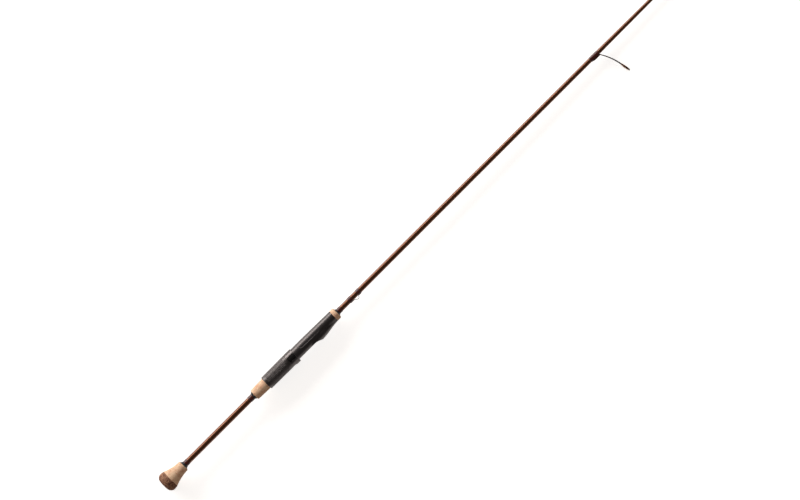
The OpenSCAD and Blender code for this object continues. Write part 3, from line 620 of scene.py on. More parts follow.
def close_ring(tree, source, ring, outside):
    """Bends the grid to its outside radius and its bore, and closes it."""
    radius = add(tree, MIX, {0: ring.bore, 2: outside, 3: ring.bare})
    cosine = add(tree, MATH, (ring.angle,), "COSINE")
    sine = add(tree, MATH, (ring.angle,), "SINE")
    down = add(tree, MATH, (cosine, -1.0), "MULTIPLY")
    side = add(tree, "ShaderNodeCombineXYZ", {"Y": down, "Z": sine})
    out = add(tree, VECTOR_MATH, {0: side, "Scale": radius}, "SCALE")
    forward = add(tree, "ShaderNodeCombineXYZ", {"X": ring.x})
    place = add(tree, VECTOR_MATH, (out, forward), "ADD")
    bent = add(tree, "GeometryNodeSetPosition", {"Geometry": ring.grid, "Position": place})
    shut = add(tree, "GeometryNodeMergeByDistance", {"Geometry": bent, "Distance": 1e-6})
    turned_out = add(tree, "GeometryNodeFlipFaces", {"Mesh": shut})
    real = add(tree, "GeometryNodeRealizeInstances", {"Geometry": turned_out})
    finished = add(tree, "GeometryNodeSetMaterial", {"Geometry": real, "Material": source["Finish"]})
    add(tree, "NodeGroupOutput", {"Geometry": finished})
    return tree


def helix(tree, source, ring, operation):
    """How many turns of thread lie behind each point. ADD winds it right-handed and SUBTRACT left-handed."""
    along = add(tree, MATH, (ring.x, source["Pitch"]), "DIVIDE")
    around = add(tree, MATH, (ring.angle, TURN), "DIVIDE")
    return add(tree, MATH, (along, around), operation)


def grown(name, tree, sizes, sharp):
    """The plain mesh object that a tree makes with these inputs."""
    made = mesh_object(name, [], [])
    modifier = made.modifiers.new(tree.name, "NODES")
    modifier.node_group = tree
    for item in tree.interface.items_tree:
        if item.item_type == "SOCKET" and item.in_out == "INPUT" and item.name in sizes:
            modifier[item.identifier] = sizes[item.name]
    apply_modifiers(made, name)
    smooth_shading(made.data, sharp)
    if not made.data.polygons:
        raise RuntimeError(f"{tree.name} made nothing for {name}")
    return made


def thread_wrap_tree():
    """Thread wound on the blank and drawn tight over a guide's foot, which lies on the -Y side.

    Tight thread follows the hull of the round blank and the foot's two upper corners: flat over the foot,
    and straight from each corner to where it touches the round.
    """
    sizes = ["Rear radius", "Front radius", "Bead", "Foot height", "Foot half width", "Rear ramp",
             "Front ramp", "Rear lead", "Front lead", "Pitch", "Ridge"]
    tree, source, ring = ring_tree("thread_wrap", sizes)
    # the coat's ends are drawn down to the blank in a quarter round
    dome = add(tree, MAP_RANGE, {"Value": ring.near, "From Max": source["Bead"], "To Min": 1.0,
                                 "To Max": 0.0})
    fall = add(tree, MATH, (dome, 3.0), "POWER")
    full = tapered(tree, source, ring.share, "radius")
    radius = add(tree, MIX, {0: fall, 2: full, 3: ring.bare})
    ramps = between_ends(tree, source, ring, "ramp", "SMOOTHSTEP")
    top = add(tree, MATH, (ramps, source["Foot height"], radius), "MULTIPLY_ADD")
    leads = between_ends(tree, source, ring, "lead", "LINEAR")
    half = add(tree, MATH, (leads, source["Foot half width"]), "MULTIPLY")
    corner = add(tree, "ShaderNodeCombineXYZ", {"X": half, "Y": top})
    reach = add(tree, VECTOR_MATH, (corner,), "LENGTH")
    lean = add(tree, MATH, (half, top), "ARCTAN2")
    share = add(tree, MATH, (radius, reach), "DIVIDE")
    open_angle = add(tree, MATH, (share,), "ARCCOSINE")
    touch = add(tree, MATH, (lean, open_angle), "ADD")
    turn = add(tree, MATH, (ring.angle,), "ABSOLUTE")
    held = add(tree, MATH, (turn, touch), "MINIMUM")
    flat = add(tree, MATH, (held,), "COSINE")
    roof = add(tree, MATH, (top, flat), "DIVIDE")
    past = add(tree, MATH, (touch, held), "SUBTRACT")
    slant = add(tree, MATH, (past,), "COSINE")
    side = add(tree, MATH, (radius, slant), "DIVIDE")
    blend = 0.15 * MM
    hull = add(tree, MATH, (roof, side, blend), "SMOOTH_MIN")
    # one ridge for each turn of thread, wound as a helix
    phase = helix(tree, source, ring, "ADD")
    wave = add(tree, MATH, (phase, TURN), "MULTIPLY")
    crest = add(tree, MATH, (wave,), "COSINE")
    valley = add(tree, MAP_RANGE, {"Value": crest, "From Min": -1.0, "To Min": source["Ridge"],
                                   "To Max": 0.0})
    wound = add(tree, MATH, (hull, valley), "SUBTRACT")
    film = 0.01 * MM
    least = add(tree, MATH, (ring.bare, film), "ADD")
    outside = add(tree, MATH, (wound, least), "MAXIMUM")
    return close_ring(tree, source, ring, outside)


def grip_nut_tree():
    """A hollow nut with straight grip grooves between two smooth bands, and a rounded rear edge."""
    tree, source, ring = ring_tree("grip_nut", ["Rear radius", "Front radius", "Rear round", "Band",
                                                "Grooves", "Groove depth"])
    body = tapered(tree, source, ring.share, "radius")
    edge = add(tree, MAP_RANGE, {"Value": ring.behind, "From Max": source["Rear round"], "To Min": 1.0,
                                 "To Max": 0.0})
    rear = add(tree, MATH, (edge, 2.5), "POWER")
    rear_cut = add(tree, MATH, (rear, source["Rear round"]), "MULTIPLY")
    lip = add(tree, MAP_RANGE, {"Value": ring.ahead, "From Max": 0.3 * MM, "To Min": 0.2 * MM, "To Max": 0.0})
    cut = add(tree, MATH, (rear_cut, lip), "ADD")
    past_band = add(tree, MATH, (ring.near, source["Band"]), "SUBTRACT")
    window = add(tree, MAP_RANGE, {"Value": past_band, "From Max": 0.8 * MM}, interpolation_type="SMOOTHSTEP")
    spin = add(tree, MATH, (ring.angle, source["Grooves"]), "MULTIPLY")
    wave = add(tree, MATH, (spin,), "COSINE")
    groove = add(tree, MAP_RANGE, {"Value": wave, "From Min": -0.2, "From Max": 0.9},
                 interpolation_type="SMOOTHSTEP")
    deep = add(tree, MATH, (groove, window), "MULTIPLY")
    sunk = add(tree, MATH, (deep, source["Groove depth"], cut), "MULTIPLY_ADD")
    outside = add(tree, MATH, (body, sunk), "SUBTRACT")
    return close_ring(tree, source, ring, outside)


def barrel_thread_tree():
    """The seat's threaded barrel, with flat crests, cut off by the flat reel foot bed.

    Its helix is wound left-handed, although the nut's motion is that of a right-hand thread.
    """
    tree, source, ring = ring_tree("barrel_thread", ["Crest radius", "Bed", "Pitch", "Depth", "Run-out"])
    run = add(tree, MAP_RANGE, {"Value": ring.near, "From Max": source["Run-out"]},
              interpolation_type="SMOOTHSTEP")
    phase = helix(tree, source, ring, "SUBTRACT")
    doubled = add(tree, MATH, (phase, 2.0), "MULTIPLY")
    saw = add(tree, MATH, (doubled, 1.0), "PINGPONG")
    valley = add(tree, MAP_RANGE, {"Value": saw, "From Min": 0.2, "From Max": 0.8})
    deep = add(tree, MATH, (valley, run), "MULTIPLY")
    sunk = add(tree, MATH, (deep, source["Depth"]), "MULTIPLY")
    thread = add(tree, MATH, (source["Crest radius"], sunk), "SUBTRACT")
    facing = add(tree, MATH, (ring.angle,), "COSINE")
    ahead_only = add(tree, MATH, (facing, 0.2), "MAXIMUM")
    bed = add(tree, MATH, (source["Bed"], ahead_only), "DIVIDE")
    outside = add(tree, MATH, (thread, bed), "MINIMUM")
    return close_ring(tree, source, ring, outside)


# ---------------------------------------------------------------- pieces of the rod

def cork_outline(node):
    """[(x, radius)] of a cork, check or cap on the blank, without the corners of its bore."""
    return [(x, r) for x, r in outline(node) if r > blank_radius(x) + 0.1 * MM]


def cork_pores(depth, seed):
    """Sinks scattered open pores, and the sanded unevenness between them."""
    spacing, reach, closed = 2.6 * MM, 0.24, 0.25
    wave, sanding = 5 * MM, 0.03 * MM

    def carve(point, _x):
        place = Vector((point.x * 0.55, point.y, point.z)) / spacing + Vector((seed, 0, 0))
        distances, points = noise.voronoi(place)
        is_open = noise.cell(points[0] * 7.3) > closed
        pit = max(0.0, 1 - distances[0] / reach) if is_open else 0.0
        swell = noise.noise(point / wave + Vector((seed, 3, 1)))
        return depth * min(1.0, pit * 1.6) + sanding * (swell + 1)
    return carve


def turned_cork(node, material, settings, seed):
    """A cork turned on the blank, with a hairline where it is glued to its neighbour."""
    line = cork_outline(node)
    start, end = line[0][0], line[-1][0]
    hair, fade = 0.12 * MM, 0.3 * MM
    outside = [(x, r - hair * max(0, 1 - (x - start) / fade) - hair * max(0, 1 - (end - x) / fade))
               for x, r in resampled(line, 0.35 * MM)]
    bore = [(end, blank_radius(end)), (start, blank_radius(start))]
    pores = cork_pores(settings.pore_depth, seed)
    shell = turned(outside + bore, 220, lambda p, x: pores(p, x) if start < x < end else 0.0)
    finish(closed_object(f"{node}_turned", shell, 70), "rod", "cork", material, node)


def turned_cap(material, settings):
    """The butt cap: a domed plug of composite cork with a blind hole for the blank."""
    line = resampled(cork_outline("butt_cap"), 0.4 * MM)
    floor, end = BLANK[0, 0], line[-1][0]
    profile = [(line[0][0], 0)] + line + [(end, blank_radius(end)), (floor, blank_radius(floor)), (floor, 0)]
    grain = cork_pores(settings.pore_depth * 0.6, 11)
    bare_middle = 5 * MM
    shell = turned(profile, 240, lambda p, x: grain(p, x) if math.hypot(p.y, p.z) > bare_middle else 0.0)
    finish(closed_object("butt_cap_turned", shell, 60), "rod", "composite_cork", material, "butt_cap")


def moulded_check(node, material):
    """A rubber winding check: a cone with soft edges and slightly hollow sides."""
    line = cork_outline(node)
    (x0, r0), (x1, r1) = line[0], line[-1]
    soft, hollow = 0.28 * MM, 0.22 * MM
    rear, front = (soft, soft * 0.6) if r0 > r1 else (soft * 0.6, soft)
    quarter = quarter_turn(6)
    profile = [(x0 + rear * (1 - math.cos(a)), r0 - rear * (1 - math.sin(a))) for a in quarter]
    profile += [(x0 + rear + (x1 - x0 - rear - front) * u,
                 r0 + (r1 - r0) * u - hollow * math.sin(math.pi * u)) for u in [i / 16 for i in range(1, 16)]]
    profile += [(x1 - front * (1 - math.cos(a)), r1 - front * (1 - math.sin(a))) for a in quarter[::-1]]
    profile += [(x1, blank_radius(x1)), (x0, blank_radius(x0))]
    piece = closed_object(f"{node}_moulded", turned(profile, 96), 60)
    finish(piece, "rod", "check_rubber", material, node)


def wrap_piece(node, tree, settings, material, foot_height=0.0, foot_width=0.0, ramps=(0.4 * MM, 0.4 * MM)):
    """One thread wrap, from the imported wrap's ends and the blank's radii there."""
    low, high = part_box(node)
    rear, front, span = blank_radius(low.x), blank_radius(high.x), high.x - low.x
    coat = high.z - rear
    rows_per_turn = 6
    sizes = {"Start": low.x, "Length": span, "Rear bore": rear, "Front bore": front,
             "Rear radius": rear + coat, "Front radius": front + coat, "Bead": min(settings.bead, span / 5),
             "Foot height": foot_height, "Foot half width": foot_width / 2, "Rear ramp": ramps[0],
             "Front ramp": ramps[1], "Rear lead": min(ramps[0], settings.foot_tail),
             "Front lead": min(ramps[1], settings.foot_tail), "Pitch": settings.pitch,
             "Ridge": settings.ridge, "Rows": int(span / settings.pitch * rows_per_turn), "Columns": 96,
             "Finish": material}
    piece = grown(f"{node}_wound", tree, sizes, sharp=180)
    finish(piece, "rod", "thread_wrap", material, node)


def softened(node, name, width, segments=2, keep_after=None, fine=1.0, broad=None):
    """A merged copy of a CAD node with its hard edges rounded.

    keep_after cuts off what lies behind that x. Edges for which broad is true are rounded by width, and
    the others by the share fine of it.
    """
    flat_within, hard_from = math.radians(0.3), math.radians(35)
    bm = bmesh.new()
    bm.from_mesh(frame["nodes"][node].data)
    bmesh.ops.remove_doubles(bm, verts=bm.verts, dist=2e-6)
    if keep_after is not None:
        cut = bmesh.ops.bisect_plane(bm, geom=bm.verts[:] + bm.edges[:] + bm.faces[:], dist=1e-7,
                                     plane_co=(keep_after, 0, 0), plane_no=(1, 0, 0), clear_inner=True)
        rim = [e for e in cut["geom_cut"] if isinstance(e, bmesh.types.BMEdge)]
        bmesh.ops.triangle_fill(bm, edges=rim, use_beauty=True)
    bmesh.ops.dissolve_limit(bm, angle_limit=flat_within, verts=bm.verts, edges=bm.edges)
    bmesh.ops.recalc_face_normals(bm, faces=bm.faces)
    weight = bm.edges.layers.float.new("bevel_weight_edge")
    for edge in bm.edges:
        if edge.calc_face_angle(0) > hard_from:
            edge[weight] = 1.0 if broad and broad(edge) else fine
    mesh = bpy.data.meshes.new(name)
    bm.to_mesh(mesh)
    bm.free()
    smooth_shading(mesh, 30)
    plain = new_object(name, mesh)
    bevel = plain.modifiers.new("edges", "BEVEL")
    bevel.limit_method = "WEIGHT"
    bevel.width = width
    bevel.segments = segments
    bevel.use_clamp_overlap = False
    # large faces keep their own direction, so that flats stay flat up to their rounded edges
    even = plain.modifiers.new("shading", "WEIGHTED_NORMAL")
    even.keep_sharp = True
    return apply_modifiers(plain, name)


def arc(start, radius, a0, a1, steps):
    """(x, height) along an arc from start, whose direction turns up from a0 to a1, without its start."""
    angles = [a0 + (a1 - a0) * i / steps for i in range(1, steps + 1)]
    return [(start[0] + radius * (math.sin(a) - math.sin(a0)),
             start[1] + radius * (math.cos(a0) - math.cos(a))) for a in angles]


def guide_line(tail, foot_end, leg_top, way, spread, settings):
    """(x, height) along the middle of a guide's sheet, from its tail to just past the ring's centre.

    The foot bends up at foot_end. At the height leg_top the leg meets the collar and follows way.
    """
    a1 = math.pi / 2 - settings.rake
    a2 = math.pi / 2 - settings.tilt
    bend = arc(foot_end, settings.bend, 0, a1, 10)
    chord = (leg_top - bend[-1][1]) / math.sin((a1 + a2) / 2)
    leg = arc(bend[-1], chord / 2 / math.sin((a2 - a1) / 2), a1, a2, 28)
    x, height = leg[-1]
    lap, steps = 0.7 * MM, 14
    reach = spread + lap
    rest = [(x + way[0] * reach * i / steps, height + way[1] * reach * i / steps)
            for i in range(1, steps + 1)]
    foot = [(tail + (foot_end[0] - tail) * i / 12, foot_end[1]) for i in range(12)]
    return foot + [foot_end] + bend + leg + rest


def sheet_thickness(k, settings):
    """Thickness of a guide's sheet, which falls from the first guide to the last."""
    return settings.first_sheet + (settings.last_sheet - settings.first_sheet) * k / (GUIDE_COUNT - 1)


def stamped_frame(k, settings, foot_tail, material):
    """A single-foot guide: a tongue stamped from sheet, split into two legs that hold the ring's collar."""
    fork_share, tail_share, least_leg, film = 0.3, 0.2, 0.25 * MM, 0.05 * MM
    name = f"guide_{k + 1}_frame"
    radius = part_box(name)[1].z
    wrap_low, wrap_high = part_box(f"guide_{k + 1}_wrap")
    sheet = sheet_thickness(k, settings)
    spread = radius - settings.collar / 2
    bore = radius - settings.collar
    centre = middle_of(f"guide_{k + 1}_ring")
    base = blank_radius(wrap_low.x) + film
    way = (math.sin(settings.tilt), math.cos(settings.tilt))
    leg_top = centre[1] - spread * way[1]
    neck = base + sheet + settings.bend
    fork = base + (leg_top - base) * fork_share
    foot_end = (wrap_high.x - settings.bend, base + sheet / 2)
    line = with_height(guide_line(wrap_low.x + foot_tail, foot_end, leg_top, way, spread, settings), fork)
    fork_row = [h >= fork - 1e-9 and x > foot_end[0] for x, h in line].index(True)
    tail = line[0][0]
    ramp = (wrap_high.x - wrap_low.x) / 3
    halves = []
    for i, (x, h) in enumerate(line):
        before, after = line[max(i - 1, 0)], line[min(i + 1, len(line) - 1)]
        run = (after[0] - before[0], after[1] - before[1])
        size = math.hypot(*run)
        normal = (-run[1] / size, run[0] / size)
        # the foot's tail is ground down so that the thread climbs it
        upper = sheet * (tail_share + (1 - tail_share) * min(1, (x - tail) / ramp)) - sheet / 2
        up = min(1, max(0, (h - neck) / (centre[1] - neck)))
        outer = settings.foot / 2 + (spread - settings.foot / 2) * up
        inner = min(1, max(0, (h - fork) / (centre[1] - fork))) * (spread - settings.leg)
        past = (x - centre[0]) * way[0] + (h - centre[1]) * way[1]
        if abs(past) < bore:
            inner = max(inner, math.sqrt(bore ** 2 - past ** 2))
        inner = min(inner, outer - least_leg)
        top = (x + normal[0] * upper, h + normal[1] * upper)
        bottom = (x - normal[0] * sheet / 2, h - normal[1] * sheet / 2)
        halves.append((top, bottom, inner, outer))
    verts, faces = [], []
    for side in (1, -1):
        start = len(verts)
        for top, bottom, inner, outer in halves:
            verts += [(x, -h, side * z) for x, h in (top, bottom) for z in (inner, outer)]
        for i in range(len(halves) - 1):
            a, b = start + 4 * i, start + 4 * i + 4
            faces += [(a, a + 1, b + 1, b), (a + 2, b + 2, b + 3, a + 3), (a + 1, a + 3, b + 3, b + 1)]
            if i >= fork_row:
                faces.append((a, b, b + 2, a + 2))
        last = start + 4 * (len(halves) - 1)
        faces += [(start, start + 2, start + 3, start + 1), (last, last + 1, last + 3, last + 2)]
    blade = rounded_shell(mesh_object(f"{name}_blade", verts, faces), 0.16 * MM)
    ring = turned(collar_profile(radius, bore, settings), 96, place=ring_place(centre, settings.tilt))
    piece = closed_object(f"{name}_stamped", joined(blade, ring), 35)
    finish(piece, "rod", "guide_metal", material, name)


def with_height(line, height):
    """The line with a point added where it first rises through that height."""
    for i in range(len(line) - 1):
        a, b = line[i], line[i + 1]
        if a[1] < height <= b[1]:
            u = (height - a[1]) / (b[1] - a[1])
            return line[:i + 1] + [(a[0] + (b[0] - a[0]) * u, height)] + line[i + 1:]
    return line


def middle_of(node):
    """(x, height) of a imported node's middle, with the height measured towards -Y."""
    low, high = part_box(node)
    return (low.x + high.x) / 2, -(low.y + high.y) / 2


def ring_place(centre, tilt):
    """Where a ring's own X axis lies along its bore and its middle is at (x, height)."""
    return Matrix.Translation((centre[0], -centre[1], 0)) @ Matrix.Rotation(tilt, 4, "Z")


def band_profile(outer, inner, width, corner, steps):
    """Closed (x, radius) profile of a ring with rounded edges."""
    middle = (outer + inner) / 2
    return [(x, middle + r) for x, r in rounded_box(width / 2, (outer - inner) / 2, corner, steps)]


def collar_profile(outer, inner, settings):
    """Closed (x, radius) profile of the metal collar round a ring."""
    return band_profile(outer, inner, settings.collar_width, 0.3 * MM, 6)


def rounded_shell(piece, width):
    """(vertices, faces) of an object with its corners merged and its edges rounded. The object is used up."""
    bm = bmesh.new()
    bm.from_mesh(piece.data)
    bmesh.ops.remove_doubles(bm, verts=bm.verts, dist=1e-7)
    bmesh.ops.dissolve_degenerate(bm, edges=bm.edges, dist=1e-8)
    bmesh.ops.recalc_face_normals(bm, faces=bm.faces)
    bm.to_mesh(piece.data)
    bm.free()
    bevel = piece.modifiers.new("edges", "BEVEL")
    bevel.limit_method = "ANGLE"
    bevel.angle_limit = math.radians(40)
    bevel.width = width
    bevel.segments = 3
    mesh = apply_modifiers(piece, piece.name).data
    shell = ([tuple(v.co) for v in mesh.vertices], [tuple(f.vertices) for f in mesh.polygons])
    bpy.data.objects.remove(piece)
    return shell


def ring_piece(node, collar_node, settings, tilt, material):
    """A polished ring insert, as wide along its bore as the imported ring, pressed in its collar."""
    low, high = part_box(node)
    middle = (low + high) / 2
    axis = Vector((math.cos(tilt), math.sin(tilt), 0))
    reach = [(v.co - middle).dot(axis) for v in frame["nodes"][node].data.vertices]
    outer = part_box(collar_node)[1].z - settings.collar
    profile = band_profile(outer, outer - settings.insert_wall, max(reach) - min(reach), 0.45 * MM, 9)
    shell = turned(profile, 128, place=ring_place((middle.x, -middle.y), tilt))
    finish(closed_object(f"{node}_polished", shell, 60), "rod", "ring_insert", material, node)


def bent_wire(points, thickness, bend, flat_ends, flat, steps=20):
    """A closed wire through points in the XY plane, bent round at its corners.

    It is round between the two places flat_ends along X, and beyond them it is ground off on its -Y side
    until it is as thick as flat.
    """
    points = [Vector(p) for p in points]
    line = [points[0]]
    for a, corner, b in zip(points, points[1:], points[2:]):
        p = corner + (a - corner).normalized() * min(bend, (a - corner).length * 0.45)
        q = corner + (b - corner).normalized() * min(bend, (b - corner).length * 0.45)
        line += [p * (1 - u) ** 2 + corner * 2 * u * (1 - u) + q * u ** 2 for u in [i / 8 for i in range(9)]]
    line = [Vector(p) for p in resampled([tuple(p) for p in line + points[-1:]], 0.12 * MM)]
    run_out, end_share = 0.25 * MM, 0.7
    axes, sections = [], []
    radius = thickness / 2
    for i, p in enumerate(line):
        way = (line[min(i + 1, len(line) - 1)] - line[max(i - 1, 0)]).normalized()
        axes.append((Vector((-way.y, way.x, 0)), Vector((0, 0, 1))))
        beyond = max(flat_ends[0] - p.x, p.x - flat_ends[1])
        ground = min(1, max(0, beyond / run_out))
        least = -radius + (thickness - flat) * ground
        r = radius * (end_share if i in (0, len(line) - 1) else 1)
        sections.append([(max(least, r * math.cos(TURN * n / steps)), r * math.sin(TURN * n / steps))
                         for n in range(steps)])
    return swept(line, axes, sections)


# ---------------------------------------------------------------- operators

def dressing(context):
    """The rod's settings in the current scene."""
    return context.scene.rod_dressing


class ROD_OT_blank(bpy.types.Operator):
    """Turn the tapered, hollow blank"""
    bl_idname = "rod.blank"
    bl_label = "Blank"

    def execute(self, context):
        settings = dressing(context).blank
        outside = resampled([tuple(p) for p in BLANK], 6 * MM)
        inner = [(x, r) for x, r in outline("blank", inside=True) if r < blank_radius(x) - 0.3 * MM]
        profile = [(inner[-1][0], 0)] + inner[::-1] + outside + [(outside[-1][0], 0)]
        piece = closed_object("blank_wound", turned(profile, 96), 60)
        finish(piece, "rod", "blank_finish", shared(coated_blank, settings), "blank")
        return {"FINISHED"}


class ROD_OT_corks(bpy.types.Operator):
    """Turn the butt cap, the knob, the rear grip and the fore ring"""
    bl_idname = "rod.corks"
    bl_label = "Corks"

    def execute(self, context):
        settings = dressing(context).cork
        turned_cap(shared(composite_cork, settings), settings)
        material = shared(natural_cork, settings)
        for seed, node in enumerate(("knob_cork_rear", "knob_cork_front", "rear_cork_rear", "rear_cork_front",
                                     "fore_cork_ring")):
            turned_cork(node, material, settings, seed)
        return {"FINISHED"}


class ROD_OT_checks(bpy.types.Operator):
    """Mould the three winding checks"""
    bl_idname = "rod.checks"
    bl_label = "Winding Checks"

    def execute(self, context):
        material = shared(black_rubber, dressing(context).metal)
        for node in ("knob_check", "rear_check", "fore_check"):
            moulded_check(node, material)
        return {"FINISHED"}


class ROD_OT_wraps(bpy.types.Operator):
    """Wind every thread wrap"""
    bl_idname = "rod.wraps"
    bl_label = "Thread Wraps"

    def execute(self, context):
        settings = dressing(context)
        thread, metal = settings.thread, settings.metal
        material = shared(wound_thread, thread)
        tree = thread_wrap_tree()
        for node in ("knob_wrap", "rear_wrap", "fore_wrap", "tip_wrap"):
            wrap_piece(node, tree, thread, material)
        cover, film = 0.5 * MM, 0.05 * MM
        steep, gentle = 0.4 * MM, 1.6 * MM
        for k in range(GUIDE_COUNT):
            low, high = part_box(f"guide_{k + 1}_wrap")
            wrap_piece(f"guide_{k + 1}_wrap", tree, thread, material, sheet_thickness(k, metal) + film,
                       metal.foot + cover, (thread.foot_tail + (high.x - low.x) / 3, steep))
        for node, ramps in (("keeper_wrap_rear", (gentle, steep)), ("keeper_wrap_front", (steep, gentle))):
            wrap_piece(node, tree, thread, material, metal.keeper_foot + film, metal.keeper + cover, ramps)
        return {"FINISHED"}


class ROD_OT_seat(bpy.types.Operator):
    """Mould the reel seat with its threaded barrel, and finish the arbors inside it"""
    bl_idname = "rod.seat"
    bl_label = "Reel Seat"

    def execute(self, context):
        settings = dressing(context).seat
        material = shared(moulded_nylon, "moulded_seat_nylon", tuple(settings.body), 0.35 * MM, 0.36)
        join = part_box("sliding_hood")[0].x
        low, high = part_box("seat_body")

        def on_top_line(edge):
            """Whether an edge belongs to the line of the scallop along both sides of the seat."""
            first, last, least_radius = join + 6 * MM, high.x - 3 * MM, 6.5 * MM
            return all(-1.2 * MM < v.co.y < 3 * MM and first < v.co.x < last
                       and math.hypot(v.co.y, v.co.z) > least_radius for v in edge.verts)

        body = softened("seat_body", "seat_body_moulded", settings.edge, 3, keep_after=join, fine=0.25,
                        broad=on_top_line)
        finish(body, "rod", "seat_plastic", material, "seat_body")
        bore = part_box("arbor_rear")[1].z
        # the bed is the flat that the moulded barrel shows next to the nut
        bed = -min(v.co.y for v in frame["nodes"]["seat_body"].data.vertices if v.co.x < join)
        sizes = {"Start": low.x, "Length": join - low.x, "Rear bore": bore, "Front bore": bore,
                 "Crest radius": high.z, "Bed": bed, "Pitch": settings.pitch, "Depth": settings.thread_depth,
                 "Run-out": 1.2 * MM, "Rows": 340, "Columns": 128, "Finish": material}
        sleeve = grown("seat_barrel_threaded", barrel_thread_tree(), sizes, sharp=35)
        finish(sleeve, "rod", "seat_plastic", material, "seat_body")
        foam = shared(rigid_foam)
        for node in ("arbor_rear", "arbor_middle", "arbor_front"):
            for slot in frame["nodes"][node].material_slots:
                slot.material = foam
        return {"FINISHED"}


class ROD_OT_hood(bpy.types.Operator):
    """Finish the sliding hood and its liner"""
    bl_idname = "rod.hood"
    bl_label = "Sliding Hood"

    def execute(self, context):
        settings = dressing(context).seat
        shell = softened("sliding_hood", "sliding_hood_spun", settings.metal_edge, 3)
        finish(shell, "hood", "hood_metal", shared(anodised_aluminium, settings), "sliding_hood")
        liner = softened("hood_liner", "hood_liner_moulded", settings.metal_edge)
        material = shared(moulded_nylon, "moulded_liner_nylon", tuple(settings.liner), 0.4 * MM, 0.6, 0.25)
        finish(liner, "hood", "liner_plastic", material, "hood_liner")
        return {"FINISHED"}


class ROD_OT_nut(bpy.types.Operator):
    """Mould the grooved lock nut"""
    bl_idname = "rod.nut"
    bl_label = "Lock Nut"

    def execute(self, context):
        settings = dressing(context).seat
        low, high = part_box("lock_nut")
        radii = dict(outline("lock_nut"))
        rear = max(r for x, r in radii.items() if x < low.x + 1.2 * MM)
        bore = min(r for x, r in outline("lock_nut", inside=True))
        material = shared(moulded_nylon, "moulded_nut_nylon", tuple(settings.nut), 0.3 * MM, 0.36)
        sizes = {"Start": low.x, "Length": high.x - low.x, "Rear bore": bore, "Front bore": bore,
                 "Rear radius": rear, "Front radius": high.z, "Rear round": 0.7 * MM, "Band": settings.band,
                 "Grooves": float(settings.grooves), "Groove depth": settings.groove_depth, "Rows": 180,
                 "Columns": settings.grooves * 9, "Finish": material}
        piece = grown("lock_nut_moulded", grip_nut_tree(), sizes, sharp=40)
        finish(piece, "nut", "nut_plastic", material, "lock_nut")
        return {"FINISHED"}


class ROD_OT_keeper(bpy.types.Operator):
    """Bend the hook keeper's wire"""
    bl_idname = "rod.keeper"
    bl_label = "Hook Keeper"

    def execute(self, context):
        settings = dressing(context).metal
        low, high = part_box("hook_keeper")
        start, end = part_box("keeper_wrap_rear")[1].x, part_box("keeper_wrap_front")[0].x
        foot, top = high.y - settings.keeper / 2, low.y + settings.keeper / 2
        at = [start + (end - start) * share for share in (0.15, 0.51, 0.79, 0.93)]
        points = [(low.x, foot, 0), (at[0], foot, 0), (at[1], top, 0), (at[2], top, 0), (at[3], foot, 0),
                  (high.x, foot, 0)]
        shell = bent_wire(points, settings.keeper, 0.9 * MM, (start + 0.5 * MM, end - 0.5 * MM),
                          settings.keeper_foot)
        piece = closed_object("hook_keeper_bent", shell, 50)
        material = shared(plated_steel, "drawn_stainless_wire", tuple(settings.wire), 0.2)
        finish(piece, "rod", "keeper_wire", material, "hook_keeper")
        return {"FINISHED"}


def guide_steel(settings):
    """The plated steel that the guides and the tip top share."""
    return shared(plated_steel, "stamped_plated_steel", tuple(settings.frame), 0.38)


class ROD_OT_guides(bpy.types.Operator):
    """Stamp the guide frames and press in their rings"""
    bl_idname = "rod.guides"
    bl_label = "Line Guides"

    def execute(self, context):
        settings = dressing(context).metal
        foot_tail = dressing(context).thread.foot_tail
        frames = guide_steel(settings)
        rings = shared(polished_ring, settings)
        for k in range(GUIDE_COUNT):
            stamped_frame(k, settings, foot_tail, frames)
            ring_piece(f"guide_{k + 1}_ring", f"guide_{k + 1}_frame", settings, settings.tilt, rings)
        return {"FINISHED"}


class ROD_OT_tip(bpy.types.Operator):
    """Braze the tip top together and press in its ring"""
    bl_idname = "rod.tip"
    bl_label = "Tip Top"

    def execute(self, context):
        settings = dressing(context).metal
        frames = guide_steel(settings)
        low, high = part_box("tip_top_frame")
        centre = middle_of("tip_top_ring")
        outer, tube, floor = high.z, high.y, BLANK[-1, 0]
        tube_length, soft, lip, stay_start = 10 * MM, 0.6 * MM, 0.12 * MM, 3.5 * MM
        end = low.x + tube_length
        profile = [(floor, 0), (floor, blank_radius(floor)), (low.x, blank_radius(low.x)),
                   (low.x, tube - lip), (low.x + lip, tube)]
        profile += [(end - soft + soft * math.sin(a), tube - soft + soft * math.cos(a))
                    for a in quarter_turn(8)]
        profile.append((end, 0))
        shells = [turned(profile, 48)]
        half = settings.stay / 2
        for side in (1, -1):
            foot = Vector((low.x + stay_start, -(tube - settings.stay * 0.2), side * half))
            head = Vector((centre[0], -centre[1], side * (outer - half)))
            way = (head - foot).normalized()
            across = way.cross(Vector((0, 0, 1))).normalized()
            up = across.cross(way)
            centres = [foot - way * half * math.cos(a) for a in quarter_turn(6)] + [head]
            radii = [max(half * math.sin(a), half * 0.05) for a in quarter_turn(6)] + [half * 0.98]
            rounds = [[(r * math.cos(TURN * n / 20), r * math.sin(TURN * n / 20)) for n in range(20)]
                      for r in radii]
            shells.append(swept(centres, [(across, up)] * len(centres), rounds))
        collar = collar_profile(outer, outer - settings.collar, settings)
        shells.append(turned(collar, 80, place=ring_place(centre, settings.tip_tilt)))
        piece = closed_object("tip_top_brazed", joined(*shells), 40)
        finish(piece, "rod", "guide_metal", frames, "tip_top_frame")
        ring_piece("tip_top_ring", "tip_top_frame", settings, settings.tip_tilt,
                   shared(polished_ring, settings))
        return {"FINISHED"}


